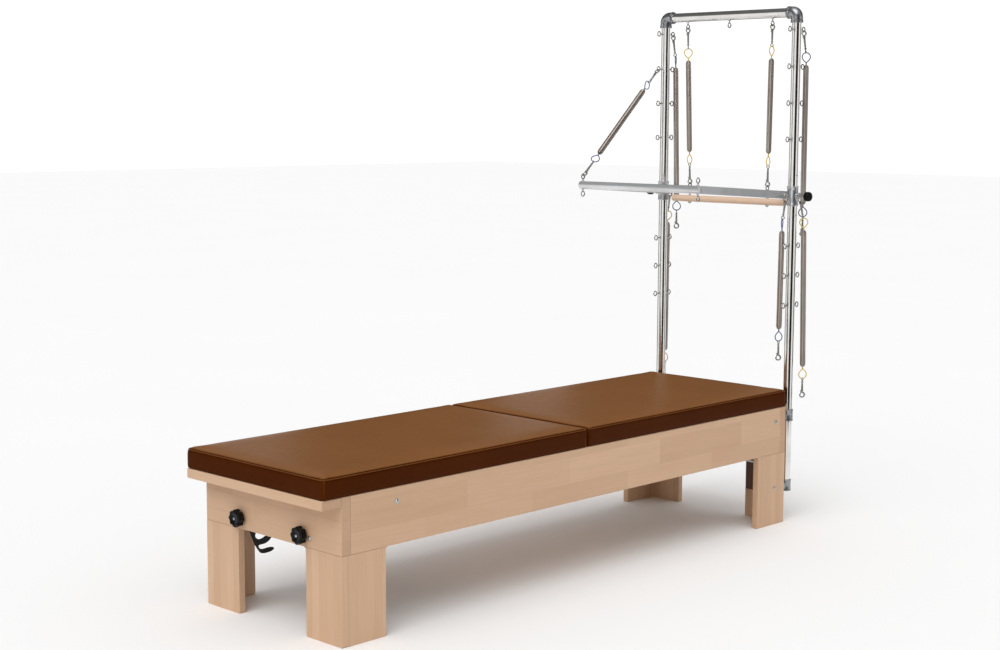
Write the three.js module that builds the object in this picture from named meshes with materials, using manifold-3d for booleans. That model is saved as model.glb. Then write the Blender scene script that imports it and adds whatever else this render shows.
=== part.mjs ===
// A pilates reformer set up as a mat table, with a sprung tower at its head end.
// Millimetres, +Z up. While it is built, y = 0 is the front face of the foot end board,
// x = 0 the middle of the frame and z = 0 the floor. The last lines move the origin to
// the middle of the base of the whole machine.
import * as THREE from "three";
import { mergeVertices } from "three/addons/utils/BufferGeometryUtils.js";
import Module from "manifold-3d";

const wasm = await Module();
wasm.setup();

// ---------------------------------------------------------------- driving sizes
const GAP = 0.3; // clearance between pieces that touch
const SIDES = { left: -1, right: 1 };

const frame = { width: 720, length: 2427, top: 493, bottom: 300, board: 38, rail: 35 };
const platform = { reach: 77, thickness: 33, corner: 14 };
const leg = { width: 180, depth: 187, thickness: 24, fillet: 10, corner: 5 };
const pad = { thickness: 80, corner: 16, overhang: 5 };
const track = { flange: 32, wall: 4, height: 34, top: 354 };
const springBar = { y: 120, z: 395, depth: 40, height: 18 };
const carriage = { start: 740, length: 860, width: 636, board: 20, top: 424, cleat: 18 };
const wheel = { radius: 21.7, width: 17, bore: 5.3, inset: 60, x: 302 };
const footbar = { pivotY: 236, z: 444, reach: 440, halfWidth: 285, radius: 13, bend: 60 };
const knob = { x: 166, z: 340, radius: 31, thickness: 24, standoff: 7, stud: 4 };
const bracket = { plateX: 199, wall: 4, width: 60, top: 372, bottom: 306 };

const tower = { x: 341.6, y: 2465, crossbarZ: 2117.5, tube: 19, wall: 2 };
const eye = { reach: 29, outer: 12.5, inner: 7.5, thickness: 5, shank: 3.5 };
const eyeHeights = [2049, 1898, 1749, 1601, 1161, 1038, 914];
const indexHoles = { heights: [1453, 1288], radius: 4, depth: 10 };
const elbow = { radius: 25, socket: 42 };
const clamp = { z: 426, height: 49, radius: 24 };
const foot = { z: 127, height: 49, radius: 22, floor: 12 };
const sleeve = { z: 1368, height: 82, radius: 24, boss: 13, bossReach: 42 };
const plunger = { headStart: 62, headEnd: 89, headRadius: 20, neck: 9, pin: 4, pinStart: 21 };

const bar = { pivotZ: 1371, reach: 584, rise: 38, radius: 16, wall: 2.5, halfLength: 312 };
const arm = { height: 32, thickness: 8, innerX: 303, pinHole: 6.4 };
const barEyes = { x: 300, height: 36 };
const pivotPin = { radius: 6, innerX: 301.5 };
const dowel = { y: 2477, z: 1337, radius: 15, halfLength: 299, eyeX: 205, eyeHeight: 60 };
const crossbarEyes = { xs: [-221, 0, 221], drop: 41 };

const coil = { radius: 11, hook: 110, taper: 35 };

// ---------------------------------------------------------------- materials
const paint = (colour, roughness, metalness) =>
  new THREE.MeshStandardMaterial({ color: colour, roughness, metalness });
const finishes = {
  maple: paint(0xd9b792, 0.5, 0),
  darkBlock: paint(0x5a3a26, 0.6, 0),
  vinyl: paint(0x6b3a1c, 0.45, 0),
  steel: paint(0xc9cbce, 0.2, 1),
  cast: paint(0x9a9da1, 0.5, 0.9),
  aluminium: paint(0xb4b6b8, 0.35, 1),
  springSteel: paint(0x78706a, 0.35, 0.9),
  blackPlastic: paint(0x1c1d1e, 0.45, 0),
  blackSteel: paint(0x232527, 0.5, 0.5),
  darkRubber: paint(0x2b2b2c, 0.8, 0),
  dowelWood: paint(0xe2c6aa, 0.45, 0),
};

// ---------------------------------------------------------------- shaping tools
const machine = new THREE.Group();

function addPart(name, geometry, material, position = [0, 0, 0]) {
  const mesh = new THREE.Mesh(geometry, material);
  mesh.name = name;
  mesh.position.set(...position);
  machine.add(mesh);
  return mesh;
}

// A closed geometry as a solid that can be joined or cut.
function solidOf(geometry) {
  const bare = geometry.index ? geometry.toNonIndexed() : geometry.clone();
  bare.deleteAttribute("normal");
  bare.deleteAttribute("uv");
  const merged = mergeVertices(bare, 1e-4);
  return new wasm.Manifold(
    new wasm.Mesh({
      numProp: 3,
      vertProperties: merged.attributes.position.array,
      triVerts: new Uint32Array(merged.index.array),
    }),
  );
}

function geometryOf(solid) {
  const mesh = solid.getMesh();
  return new THREE.BufferGeometry()
    .setAttribute("position", new THREE.BufferAttribute(mesh.vertProperties, 3))
    .setIndex(new THREE.BufferAttribute(mesh.triVerts, 1));
}

const join = (...pieces) =>
  geometryOf(pieces.map(solidOf).reduce((whole, piece) => whole.add(piece)));

const cut = (body, ...tools) =>
  geometryOf(tools.map(solidOf).reduce((rest, tool) => rest.subtract(tool), solidOf(body)));

// A box between two corners.
function block(low, high) {
  const size = high.map((value, i) => value - low[i]);
  const middle = high.map((value, i) => (value + low[i]) / 2);
  return new THREE.BoxGeometry(...size).translate(...middle);
}

// A round bar between two points.
function rod(from, to, radius, sides = 12) {
  const start = new THREE.Vector3(...from);
  const span = new THREE.Vector3(...to).sub(start);
  const turn = new THREE.Quaternion().setFromUnitVectors(
    new THREE.Vector3(0, 1, 0),
    span.clone().normalize(),
  );
  return new THREE.CylinderGeometry(radius, radius, span.length(), sides)
    .translate(0, span.length() / 2, 0)
    .applyQuaternion(turn)
    .translate(...from);
}

// A turned piece: the profile lists [radius, distance] along the line from one point to the next.
function turned(profile, from, to, sides = 12) {
  const start = new THREE.Vector3(...from);
  const direction = new THREE.Vector3(...to).sub(start).normalize();
  const turn = new THREE.Quaternion().setFromUnitVectors(new THREE.Vector3(0, 1, 0), direction);
  const points = profile.map(([radius, distance]) => new THREE.Vector2(radius, distance));
  return new THREE.LatheGeometry(points, sides).applyQuaternion(turn).translate(...from);
}

// An open-ended tube between two points.
function tube(from, to, outer, inner, sides = 20) {
  const length = new THREE.Vector3(...to).distanceTo(new THREE.Vector3(...from));
  const profile = [
    [inner, 0],
    [outer, 0],
    [outer, length],
    [inner, length],
    [inner, 0],
  ];
  return turned(profile, from, to, sides);
}

// A flat outline in the XY plane, as thick as depth along +Z.
const plate = (shape, depth, curveSegments = 6) =>
  new THREE.ExtrudeGeometry(shape, { depth, bevelEnabled: false, curveSegments });

// Outlines drawn as (y, z) and extruded along +X, or as (x, z) and extruded along -Y.
const plateAlongX = (shape, depth, curveSegments) =>
  plate(shape, depth, curveSegments).rotateX(Math.PI / 2).rotateZ(Math.PI / 2);
const plateAlongY = (shape, depth, curveSegments) =>
  plate(shape, depth, curveSegments).rotateX(Math.PI / 2);

function roundedRectangle(x0, y0, x1, y1, radius) {
  const shape = new THREE.Shape();
  shape.moveTo(x0 + radius, y0);
  shape.lineTo(x1 - radius, y0);
  shape.absarc(x1 - radius, y0 + radius, radius, -Math.PI / 2, 0);
  shape.lineTo(x1, y1 - radius);
  shape.absarc(x1 - radius, y1 - radius, radius, 0, Math.PI / 2);
  shape.lineTo(x0 + radius, y1);
  shape.absarc(x0 + radius, y1 - radius, radius, Math.PI / 2, Math.PI);
  shape.lineTo(x0, y0 + radius);
  shape.absarc(x0 + radius, y0 + radius, radius, Math.PI, (3 * Math.PI) / 2);
  return shape;
}

// An eye: an eight-sided ring standing in the YZ plane, with a shank from its rim towards the piece
// that carries it. The shank starts inside that piece, so the two join.
function eyeBolt(centre, root) {
  const ring = new THREE.Shape();
  ring.absarc(0, 0, eye.outer, 0, 2 * Math.PI);
  ring.holes.push(new THREE.Path().absarc(0, 0, eye.inner, 0, 2 * Math.PI));
  const hoop = plateAlongX(ring, eye.thickness, 4).translate(
    centre[0] - eye.thickness / 2,
    centre[1],
    centre[2],
  );
  const start = new THREE.Vector3(...root);
  const tip = new THREE.Vector3(...centre);
  tip.addScaledVector(start.clone().sub(tip).normalize(), (eye.outer + eye.inner) / 2);
  return [hoop, rod(root, tip.toArray(), eye.shank, 6)];
}

// ---------------------------------------------------------------- frame
function buildFrame() {
  const halfWidth = frame.width / 2;
  const studHoles = Object.values(SIDES).map((side) =>
    rod([side * knob.x, -5, knob.z], [side * knob.x, frame.board + 5, knob.z], knob.stud + 0.5),
  );
  const endBoard = block([-halfWidth, 0, frame.bottom], [halfWidth, frame.board, frame.top]);
  addPart("foot_end_board", cut(endBoard, ...studHoles), finishes.maple);
  addPart("head_end_board", endBoard.clone(), finishes.maple, [0, frame.length - frame.board, 0]);

  const railLength = frame.length - 2 * (frame.board + GAP);
  const rail = block([0, 0, frame.bottom], [frame.rail, railLength, frame.top]);
  addPart("side_rail_left", rail, finishes.maple, [-halfWidth, frame.board + GAP, 0]);
  addPart("side_rail_right", rail, finishes.maple, [
    halfWidth - frame.rail,
    frame.board + GAP,
    0,
  ]);

  const ledge = new THREE.Shape();
  ledge.moveTo(halfWidth, -GAP);
  ledge.lineTo(-halfWidth, -GAP);
  ledge.lineTo(-halfWidth, -platform.reach + platform.corner);
  ledge.absarc(
    -halfWidth + platform.corner,
    -platform.reach + platform.corner,
    platform.corner,
    Math.PI,
    (3 * Math.PI) / 2,
  );
  ledge.lineTo(halfWidth - platform.corner, -platform.reach);
  ledge.absarc(
    halfWidth - platform.corner,
    -platform.reach + platform.corner,
    platform.corner,
    (3 * Math.PI) / 2,
    2 * Math.PI,
  );
  addPart("foot_platform", plate(ledge, platform.thickness), finishes.maple, [
    0,
    0,
    frame.top - platform.thickness,
  ]);
}

// A leg panel's outline: outer edge at 0, inner edge at width, a small round at each lower corner,
// and a fillet that widens its top where it meets the board above.
function legOutline(width) {
  const height = frame.bottom - GAP;
  const shape = new THREE.Shape();
  shape.moveTo(leg.corner, 0);
  shape.lineTo(width - leg.corner, 0);
  shape.absarc(width - leg.corner, leg.corner, leg.corner, -Math.PI / 2, 0);
  shape.lineTo(width, height - leg.fillet);
  shape.absarc(width + leg.fillet, height - leg.fillet, leg.fillet, Math.PI, Math.PI / 2, true);
  shape.lineTo(0, height);
  shape.lineTo(0, leg.corner);
  shape.absarc(leg.corner, leg.corner, leg.corner, Math.PI, (3 * Math.PI) / 2);
  return shape;
}

function buildLegs() {
  const endPanel = plateAlongY(legOutline(leg.width), leg.thickness, 3);
  const sideDepth = leg.depth - leg.thickness - GAP;
  const sidePanel = plateAlongX(legOutline(sideDepth), leg.thickness, 3);
  const outer = frame.width / 2;
  for (const [sideName, side] of Object.entries(SIDES)) {
    for (const end of ["foot", "head"]) {
      const inward = end === "foot" ? 1 : -1;
      const endFace = end === "foot" ? 0 : frame.length;
      const front = endPanel.clone();
      if (side > 0) front.rotateZ(Math.PI);
      const frontY = end === "foot" ? leg.thickness : frame.length;
      const frontShift = side > 0 ? -leg.thickness : 0;
      addPart(`leg_${end}_${sideName}_end`, front, finishes.maple, [
        side * outer,
        frontY + frontShift,
        0,
      ]);
      const flank = sidePanel.clone();
      if (inward < 0) flank.rotateZ(Math.PI);
      const flankX = side > 0 ? outer - leg.thickness : -outer;
      const flankShift = inward < 0 ? leg.thickness : 0;
      addPart(`leg_${end}_${sideName}_side`, flank, finishes.maple, [
        flankX + flankShift,
        endFace + inward * (leg.thickness + GAP),
        0,
      ]);
    }
  }
}

function buildMats() {
  const halfWidth = frame.width / 2 + pad.overhang;
  const front = -platform.reach;
  const length = (frame.length + platform.reach) / 2 - GAP / 2;
  const outline = roundedRectangle(-halfWidth, 0, halfWidth, length, pad.corner);
  const cushion = plate(outline, pad.thickness - GAP, 4);
  addPart("mat_pad_foot", cushion, finishes.vinyl, [0, front, frame.top + GAP]);
  addPart("mat_pad_head", cushion, finishes.vinyl, [
    0,
    frame.length - length,
    frame.top + GAP,
  ]);
}

// ---------------------------------------------------------------- under the mats
function buildBed() {
  const railInside = frame.width / 2 - frame.rail - GAP;
  const trackLength = frame.length - 2 * (frame.board + 2 * GAP);
  const angle = new THREE.Shape();
  angle.moveTo(0, 0);
  angle.lineTo(track.flange, 0);
  angle.lineTo(track.flange, track.height);
  angle.lineTo(track.flange - track.wall, track.height);
  angle.lineTo(track.flange - track.wall, track.wall);
  angle.lineTo(0, track.wall);
  const rightTrack = plateAlongY(angle, trackLength);
  const leftTrack = rightTrack.clone().rotateZ(Math.PI).translate(0, -trackLength, 0);
  const trackZ = track.top - track.wall;
  const trackEnd = frame.board + 2 * GAP + trackLength;
  addPart("track_right", rightTrack, finishes.aluminium, [
    railInside - track.flange,
    trackEnd,
    trackZ,
  ]);
  addPart("track_left", leftTrack, finishes.aluminium, [
    -railInside + track.flange,
    trackEnd,
    trackZ,
  ]);

  const springXs = [-150, -50, 50, 150];
  const studs = springXs.map((x) => rod([x, 0, 0], [x, springBar.depth / 2 + 6, 0], 5, 8));
  const beam = block(
    [-railInside, -springBar.depth / 2, -springBar.height / 2],
    [railInside, springBar.depth / 2, springBar.height / 2],
  );
  addPart("spring_bar", join(beam, ...studs), finishes.blackSteel, [0, springBar.y, springBar.z]);

  const gearStart = springBar.y + springBar.depth / 2 + 6 + GAP;
  const gearLength = carriage.start - GAP - gearStart;
  const gearProfile = [
    [0, 0],
    [4, 0],
    [4, 25],
    [13, 45],
    [13, gearLength - 45],
    [4, gearLength - 25],
    [4, gearLength],
    [0, gearLength],
  ];
  springXs.forEach((x, i) => {
    const spring = turned(gearProfile, [0, 0, 0], [0, 1, 0], 10);
    addPart(`gear_spring_${i + 1}`, spring, finishes.springSteel, [x, gearStart, springBar.z]);
  });
}

function buildCarriage() {
  const half = carriage.width / 2;
  const end = carriage.length;
  const under = carriage.top - carriage.board;
  const cleatOuter = wheel.x - wheel.width / 2 - 4;
  const cleatBottom = 362;
  const axleZ = track.top + GAP + wheel.radius;
  const stations = [wheel.inset, end - wheel.inset];
  const cleats = Object.values(SIDES).map((side) =>
    block(
      [side > 0 ? cleatOuter - carriage.cleat : -cleatOuter, 0, cleatBottom],
      [side > 0 ? cleatOuter : -cleatOuter + carriage.cleat, end, under + 1],
    ),
  );
  const axles = Object.values(SIDES).flatMap((side) =>
    stations.map((y) =>
      rod(
        [side * (cleatOuter - 5), y, axleZ],
        [side * (wheel.x + wheel.width / 2 + 3), y, axleZ],
        wheel.bore - GAP,
      ),
    ),
  );
  const crossRail = block([-cleatOuter + 1, 0, cleatBottom + 6], [cleatOuter - 1, 25, under + 1]);
  const bed = block([-half, 0, under], [half, end, carriage.top]);
  addPart("carriage", join(bed, crossRail, ...cleats, ...axles), finishes.maple, [
    0,
    carriage.start,
    0,
  ]);

  for (const [sideName, side] of Object.entries(SIDES)) {
    stations.forEach((station, i) => {
      const roller = tube([0, 0, 0], [wheel.width, 0, 0], wheel.radius, wheel.bore, 16);
      addPart(
        `carriage_wheel_${sideName}_${i === 0 ? "foot" : "head"}`,
        roller,
        finishes.darkRubber,
        [side * wheel.x - wheel.width / 2, carriage.start + station, axleZ],
      );
    });
  }
}

// The footbar is a bent tube lying folded inside the frame, with a stub at each end that turns
// against the rail.
function buildFootbar() {
  const { halfWidth, reach, bend, radius } = footbar;
  const point = (x, y) => new THREE.Vector3(x, y, 0);
  const route = new THREE.CurvePath();
  route.add(new THREE.LineCurve3(point(-halfWidth, -20), point(-halfWidth, reach - bend)));
  route.add(
    new THREE.QuadraticBezierCurve3(
      point(-halfWidth, reach - bend),
      point(-halfWidth, reach),
      point(-halfWidth + bend, reach),
    ),
  );
  route.add(new THREE.LineCurve3(point(-halfWidth + bend, reach), point(halfWidth - bend, reach)));
  route.add(
    new THREE.QuadraticBezierCurve3(
      point(halfWidth - bend, reach),
      point(halfWidth, reach),
      point(halfWidth, reach - bend),
    ),
  );
  route.add(new THREE.LineCurve3(point(halfWidth, reach - bend), point(halfWidth, -20)));
  const section = new THREE.Shape().absarc(0, 0, radius, 0, 2 * Math.PI);
  const hoop = new THREE.ExtrudeGeometry(section, {
    steps: 30,
    curveSegments: 5,
    extrudePath: route,
  });
  const railInside = frame.width / 2 - frame.rail - GAP;
  const stubs = Object.values(SIDES).map((side) =>
    rod([side * halfWidth, 0, 0], [side * railInside, 0, 0], radius - 3),
  );
  addPart("footbar", join(hoop, ...stubs), finishes.blackSteel, [
    0,
    footbar.pivotY,
    footbar.z,
  ]);
}

// ---------------------------------------------------------------- foot end hardware
// A spine tapers down from the clamp. A thick prong curls up from its middle, and a thin one
// points back along the floor from its tip.
function hookOutline() {
  const shape = new THREE.Shape();
  shape.moveTo(0, bracket.top);
  shape.lineTo(0, bracket.bottom);
  shape.lineTo(19, 279);
  shape.lineTo(38, 237);
  shape.lineTo(58, 203);
  shape.quadraticCurveTo(68, 186, 84, 187);
  shape.lineTo(102, 187);
  shape.quadraticCurveTo(126, 189, 127, 197);
  shape.quadraticCurveTo(126, 203, 112, 204);
  shape.lineTo(84, 204);
  shape.quadraticCurveTo(64, 204, 60, 218);
  shape.lineTo(74, 220);
  shape.quadraticCurveTo(100, 220, 118, 239);
  shape.lineTo(130, 256);
  shape.lineTo(118, 264);
  shape.lineTo(94, 249);
  shape.quadraticCurveTo(74, 236, 58, 241);
  shape.quadraticCurveTo(44, 248, 49, 262);
  shape.lineTo(66, 290);
  shape.lineTo(64, 330);
  shape.lineTo(40, bracket.top);
  return shape;
}

function buildFootHardware() {
  for (const [sideName, side] of Object.entries(SIDES)) {
    const back = frame.board + GAP;
    const inner = bracket.plateX - bracket.wall / 2;
    const flange = block(
      [inner - bracket.width, 0, bracket.bottom],
      [inner + bracket.wall, bracket.wall, bracket.top],
    );
    const hooks = plateAlongX(hookOutline(), bracket.wall, 3).translate(inner, 0, 0);
    const hole = rod([knob.x, -5, knob.z], [knob.x, bracket.wall + 5, knob.z], knob.stud + 0.5);
    const hookPlate = cut(join(flange, hooks), hole);
    if (side < 0) hookPlate.scale(-1, 1, 1).index.array.reverse();
    addPart(`hook_bracket_${sideName}`, hookPlate, finishes.blackSteel, [0, back, 0]);

    const lobes = 7;
    const star = new THREE.Shape();
    for (let i = 0; i < lobes * 4; i += 1) {
      const angle = (i / (lobes * 4)) * 2 * Math.PI;
      const radius = knob.radius - 3.5 * (1 - Math.cos(lobes * angle)) * 0.5;
      const [x, z] = [radius * Math.cos(angle), radius * Math.sin(angle)];
      if (i === 0) star.moveTo(x, z);
      else star.lineTo(x, z);
    }
    const head = plateAlongY(star, knob.thickness).translate(0, -knob.standoff, 0);
    const hub = rod([0, -GAP, 0], [0, -knob.standoff - 2, 0], 13, 14);
    const stud = rod([0, -knob.standoff - 2, 0], [0, back + bracket.wall + 12, 0], knob.stud, 10);
    addPart(`star_knob_${sideName}`, join(head, hub, stud), finishes.blackPlastic, [
      side * knob.x,
      0,
      knob.z,
    ]);
  }
}

// ---------------------------------------------------------------- tower
function buildTower() {
  const uprightBottom = foot.z + foot.floor + GAP;
  const uprightTop = tower.crossbarZ - tower.tube - 2;
  for (const [sideName, side] of Object.entries(SIDES)) {
    const post = tube(
      [0, 0, uprightBottom],
      [0, 0, uprightTop],
      tower.tube,
      tower.tube - tower.wall,
    );
    const eyes = eyeHeights.flatMap((z) =>
      [-1, 1].flatMap((face) =>
        eyeBolt(
          [0, face * (tower.tube + eye.reach), z],
          [0, face * (tower.tube - tower.wall / 2), z],
        ),
      ),
    );
    const holes = indexHoles.heights.map((z) =>
      rod([side * (tower.tube - indexHoles.depth), 0, z], [side * 30, 0, z], indexHoles.radius, 10),
    );
    const upright = cut(join(post, ...eyes), ...holes);
    const place = [side * tower.x, tower.y, 0];
    addPart(`tower_upright_${sideName}`, upright, finishes.steel, place);

    const standoff = frame.length + GAP - tower.y;
    const socket = tower.tube + GAP;
    const ring = turned(
      [
        [0, 0],
        [clamp.radius, 0],
        [clamp.radius, clamp.height],
        [0, clamp.height],
      ],
      [0, 0, clamp.z],
      [0, 0, clamp.z + 1],
      16,
    );
    const lug = block([-13, standoff, clamp.z + 10], [13, 0, clamp.z + clamp.height - 10]);
    const bore = rod([0, 0, clamp.z - 5], [0, 0, clamp.z + clamp.height + 5], socket, 20);
    addPart(`upright_clamp_${sideName}`, cut(join(ring, lug), bore), finishes.cast, place);

    const cup = rod([0, 0, foot.z], [0, 0, foot.z + foot.height], foot.radius, 16);
    const cupLug = block([-13, standoff, foot.z + 10], [13, 0, foot.z + foot.height - 10]);
    const well = rod([0, 0, foot.z + foot.floor], [0, 0, foot.z + foot.height + 5], socket, 20);
    addPart(`upright_foot_${sideName}`, cut(join(cup, cupLug), well), finishes.cast, place);

    buildElbow(sideName, side, socket, uprightTop);
    buildSleeve(sideName, side, socket);

    const panelFace = frame.length - leg.thickness - GAP;
    const blockOuter = frame.width / 2 - leg.thickness - GAP;
    const blockInner = blockOuter - 130;
    addPart(
      `tower_block_${sideName}`,
      new THREE.BoxGeometry(blockOuter - blockInner, 34, 123),
      finishes.darkBlock,
      [(side * (blockOuter + blockInner)) / 2, panelFace - 17, 188.5],
    );
  }

  const half = tower.x - tower.tube - 4;
  const beam = tube([-half, 0, 0], [half, 0, 0], tower.tube, tower.tube - tower.wall);
  const hangers = crossbarEyes.xs.flatMap((x) =>
    eyeBolt([x, 0, -crossbarEyes.drop], [x, 0, -tower.tube + tower.wall / 2]),
  );
  addPart("tower_crossbar", join(beam, ...hangers), finishes.steel, [
    0,
    tower.y,
    tower.crossbarZ,
  ]);
}

// A cast corner with a socket for the upright below and one for the crossbar beside it.
function buildElbow(sideName, side, socket, uprightTop) {
  const level = tower.crossbarZ;
  const corner = new THREE.SphereGeometry(elbow.radius + 2, 16, 10).translate(0, 0, 0);
  const down = rod([0, 0, 0], [0, 0, -elbow.socket], elbow.radius, 16);
  const across = rod([0, 0, 0], [-side * elbow.socket, 0, 0], elbow.radius, 16);
  const uprightBore = rod([0, 0, uprightTop + GAP - level], [0, 0, -elbow.socket - 5], socket, 20);
  const crossBore = rod(
    [-side * (tower.tube + 4 - GAP), 0, 0],
    [-side * (elbow.socket + 5), 0, 0],
    socket,
    20,
  );
  addPart(
    `tower_elbow_${sideName}`,
    cut(join(corner, down, across), uprightBore, crossBore),
    finishes.cast,
    [side * tower.x, tower.y, level],
  );
}

// A sleeve round the upright: an eye on its front and back, a boss outside for the plunger and
// a boss inside that carries the pin on which the push-through bar turns.
function buildSleeve(sideName, side, socket) {
  const low = -sleeve.height / 2;
  const high = sleeve.height / 2;
  const barrel = rod([0, 0, low], [0, 0, high], sleeve.radius, 18);
  const outerBoss = rod([0, 0, 0], [side * sleeve.bossReach, 0, 0], sleeve.boss, 12);
  const pinZ = bar.pivotZ - sleeve.z;
  const armOuter = arm.innerX + arm.thickness;
  const innerBoss = rod(
    [-side * 20, 0, pinZ],
    [-side * (tower.x - armOuter - GAP), 0, pinZ],
    sleeve.boss,
    12,
  );
  const pin = rod(
    [-side * 22, 0, pinZ],
    [-side * (tower.x - pivotPin.innerX), 0, pinZ],
    pivotPin.radius,
    12,
  );
  const eyes = [-1, 1].flatMap((face) =>
    eyeBolt(
      [0, face * (tower.tube + eye.reach), 0],
      [0, face * (sleeve.radius - 2), 0],
    ),
  );
  const bore = rod([0, 0, low - 5], [0, 0, high + 5], socket, 20);
  const pinBore = rod([0, 0, 0], [side * (sleeve.bossReach + 5), 0, 0], plunger.pin + 0.5, 10);
  addPart(
    `sleeve_${sideName}`,
    cut(join(barrel, outerBoss, innerBoss, pin, ...eyes), bore, pinBore),
    finishes.cast,
    [side * tower.x, tower.y, sleeve.z],
  );

  const profile = [
    [0, plunger.pinStart],
    [plunger.pin, plunger.pinStart],
    [plunger.pin, sleeve.bossReach + GAP],
    [plunger.neck, sleeve.bossReach + GAP],
    [plunger.neck, plunger.headStart],
    [plunger.headRadius, plunger.headStart + 4],
    [plunger.headRadius, plunger.headEnd - 4],
    [plunger.headRadius - 5, plunger.headEnd],
    [0, plunger.headEnd],
  ];
  addPart(
    `plunger_${sideName}`,
    turned(profile, [0, 0, 0], [side, 0, 0], 14),
    finishes.blackPlastic,
    [side * tower.x, tower.y, sleeve.z],
  );
}

// ---------------------------------------------------------------- bars
function buildPushThroughBar() {
  const tubeY = tower.y - bar.reach;
  const tubeZ = bar.pivotZ + bar.rise;
  const pipe = tube(
    [-bar.halfLength, 0, 0],
    [bar.halfLength, 0, 0],
    bar.radius,
    bar.radius - bar.wall,
    16,
  );
  const eyes = Object.values(SIDES).flatMap((side) =>
    [-1, 1].flatMap((up) =>
      eyeBolt(
        [side * barEyes.x, 0, up * barEyes.height],
        [side * barEyes.x, 0, up * (bar.radius - bar.wall / 2)],
      ),
    ),
  );
  addPart("bar_tube", join(pipe, ...eyes), finishes.aluminium, [0, tubeY, tubeZ]);

  const slope = Math.atan2(bar.rise, bar.reach);
  const span = Math.hypot(bar.reach, bar.rise) - bar.radius - GAP;
  const halfHeight = arm.height / 2;
  const strip = new THREE.Shape();
  strip.moveTo(-span, -halfHeight);
  strip.lineTo(0, -halfHeight);
  strip.absarc(0, 0, halfHeight, -Math.PI / 2, Math.PI / 2);
  strip.lineTo(-span, halfHeight);
  strip.holes.push(new THREE.Path().absarc(0, 0, arm.pinHole, 0, 2 * Math.PI));
  for (const [sideName, side] of Object.entries(SIDES)) {
    const mesh = addPart(`bar_arm_${sideName}`, plateAlongX(strip, arm.thickness), finishes.aluminium, [
      side > 0 ? arm.innerX : -arm.innerX - arm.thickness,
      tower.y,
      bar.pivotZ,
    ]);
    mesh.rotation.x = -slope;
  }
}

function buildRollDownBar() {
  const stick = rod([-dowel.halfLength, 0, 0], [dowel.halfLength, 0, 0], dowel.radius, 14);
  const fittings = Object.values(SIDES).flatMap((side) => {
    const x = side * dowel.eyeX;
    const nut = rod([x, 0, -dowel.radius - 7], [x, 0, -dowel.radius + 2], 6.5, 6);
    return [...eyeBolt([x, 0, dowel.eyeHeight], [x, 0, 0]), nut];
  });
  addPart("roll_down_bar", join(stick, ...fittings), finishes.dowelWood, [0, dowel.y, dowel.z]);
}

// ---------------------------------------------------------------- springs
// One hung spring from its eye: a hook rod to the upper ring, the closed coil, and a lower ring
// and snap hook. The points are relative to the eye.
function hungSpring(eyePoint, upperRing, lowerRing, tail) {
  const from = new THREE.Vector3(...eyePoint);
  const top = new THREE.Vector3(...upperRing).sub(from);
  const bottom = new THREE.Vector3(...lowerRing).sub(from);
  const clear = top.clone().setLength(eye.outer + 1.5);
  const length = top.distanceTo(bottom);
  const body = [
    [0, -6],
    [5, -6],
    [5, coil.taper * 0.4],
    [coil.radius, coil.taper],
    [coil.radius, length - coil.taper],
    [5, length - coil.taper * 0.4],
    [5, length + 6],
  ];
  const hook = tail > 0 ? [[7, length + 20], [7, length + tail], [0, length + tail]] : [[0, length + 6]];
  return join(
    rod(clear.toArray(), top.toArray(), 4.5, 8),
    turned([...body, ...hook], top.toArray(), bottom.toArray(), 10),
  );
}

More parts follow.
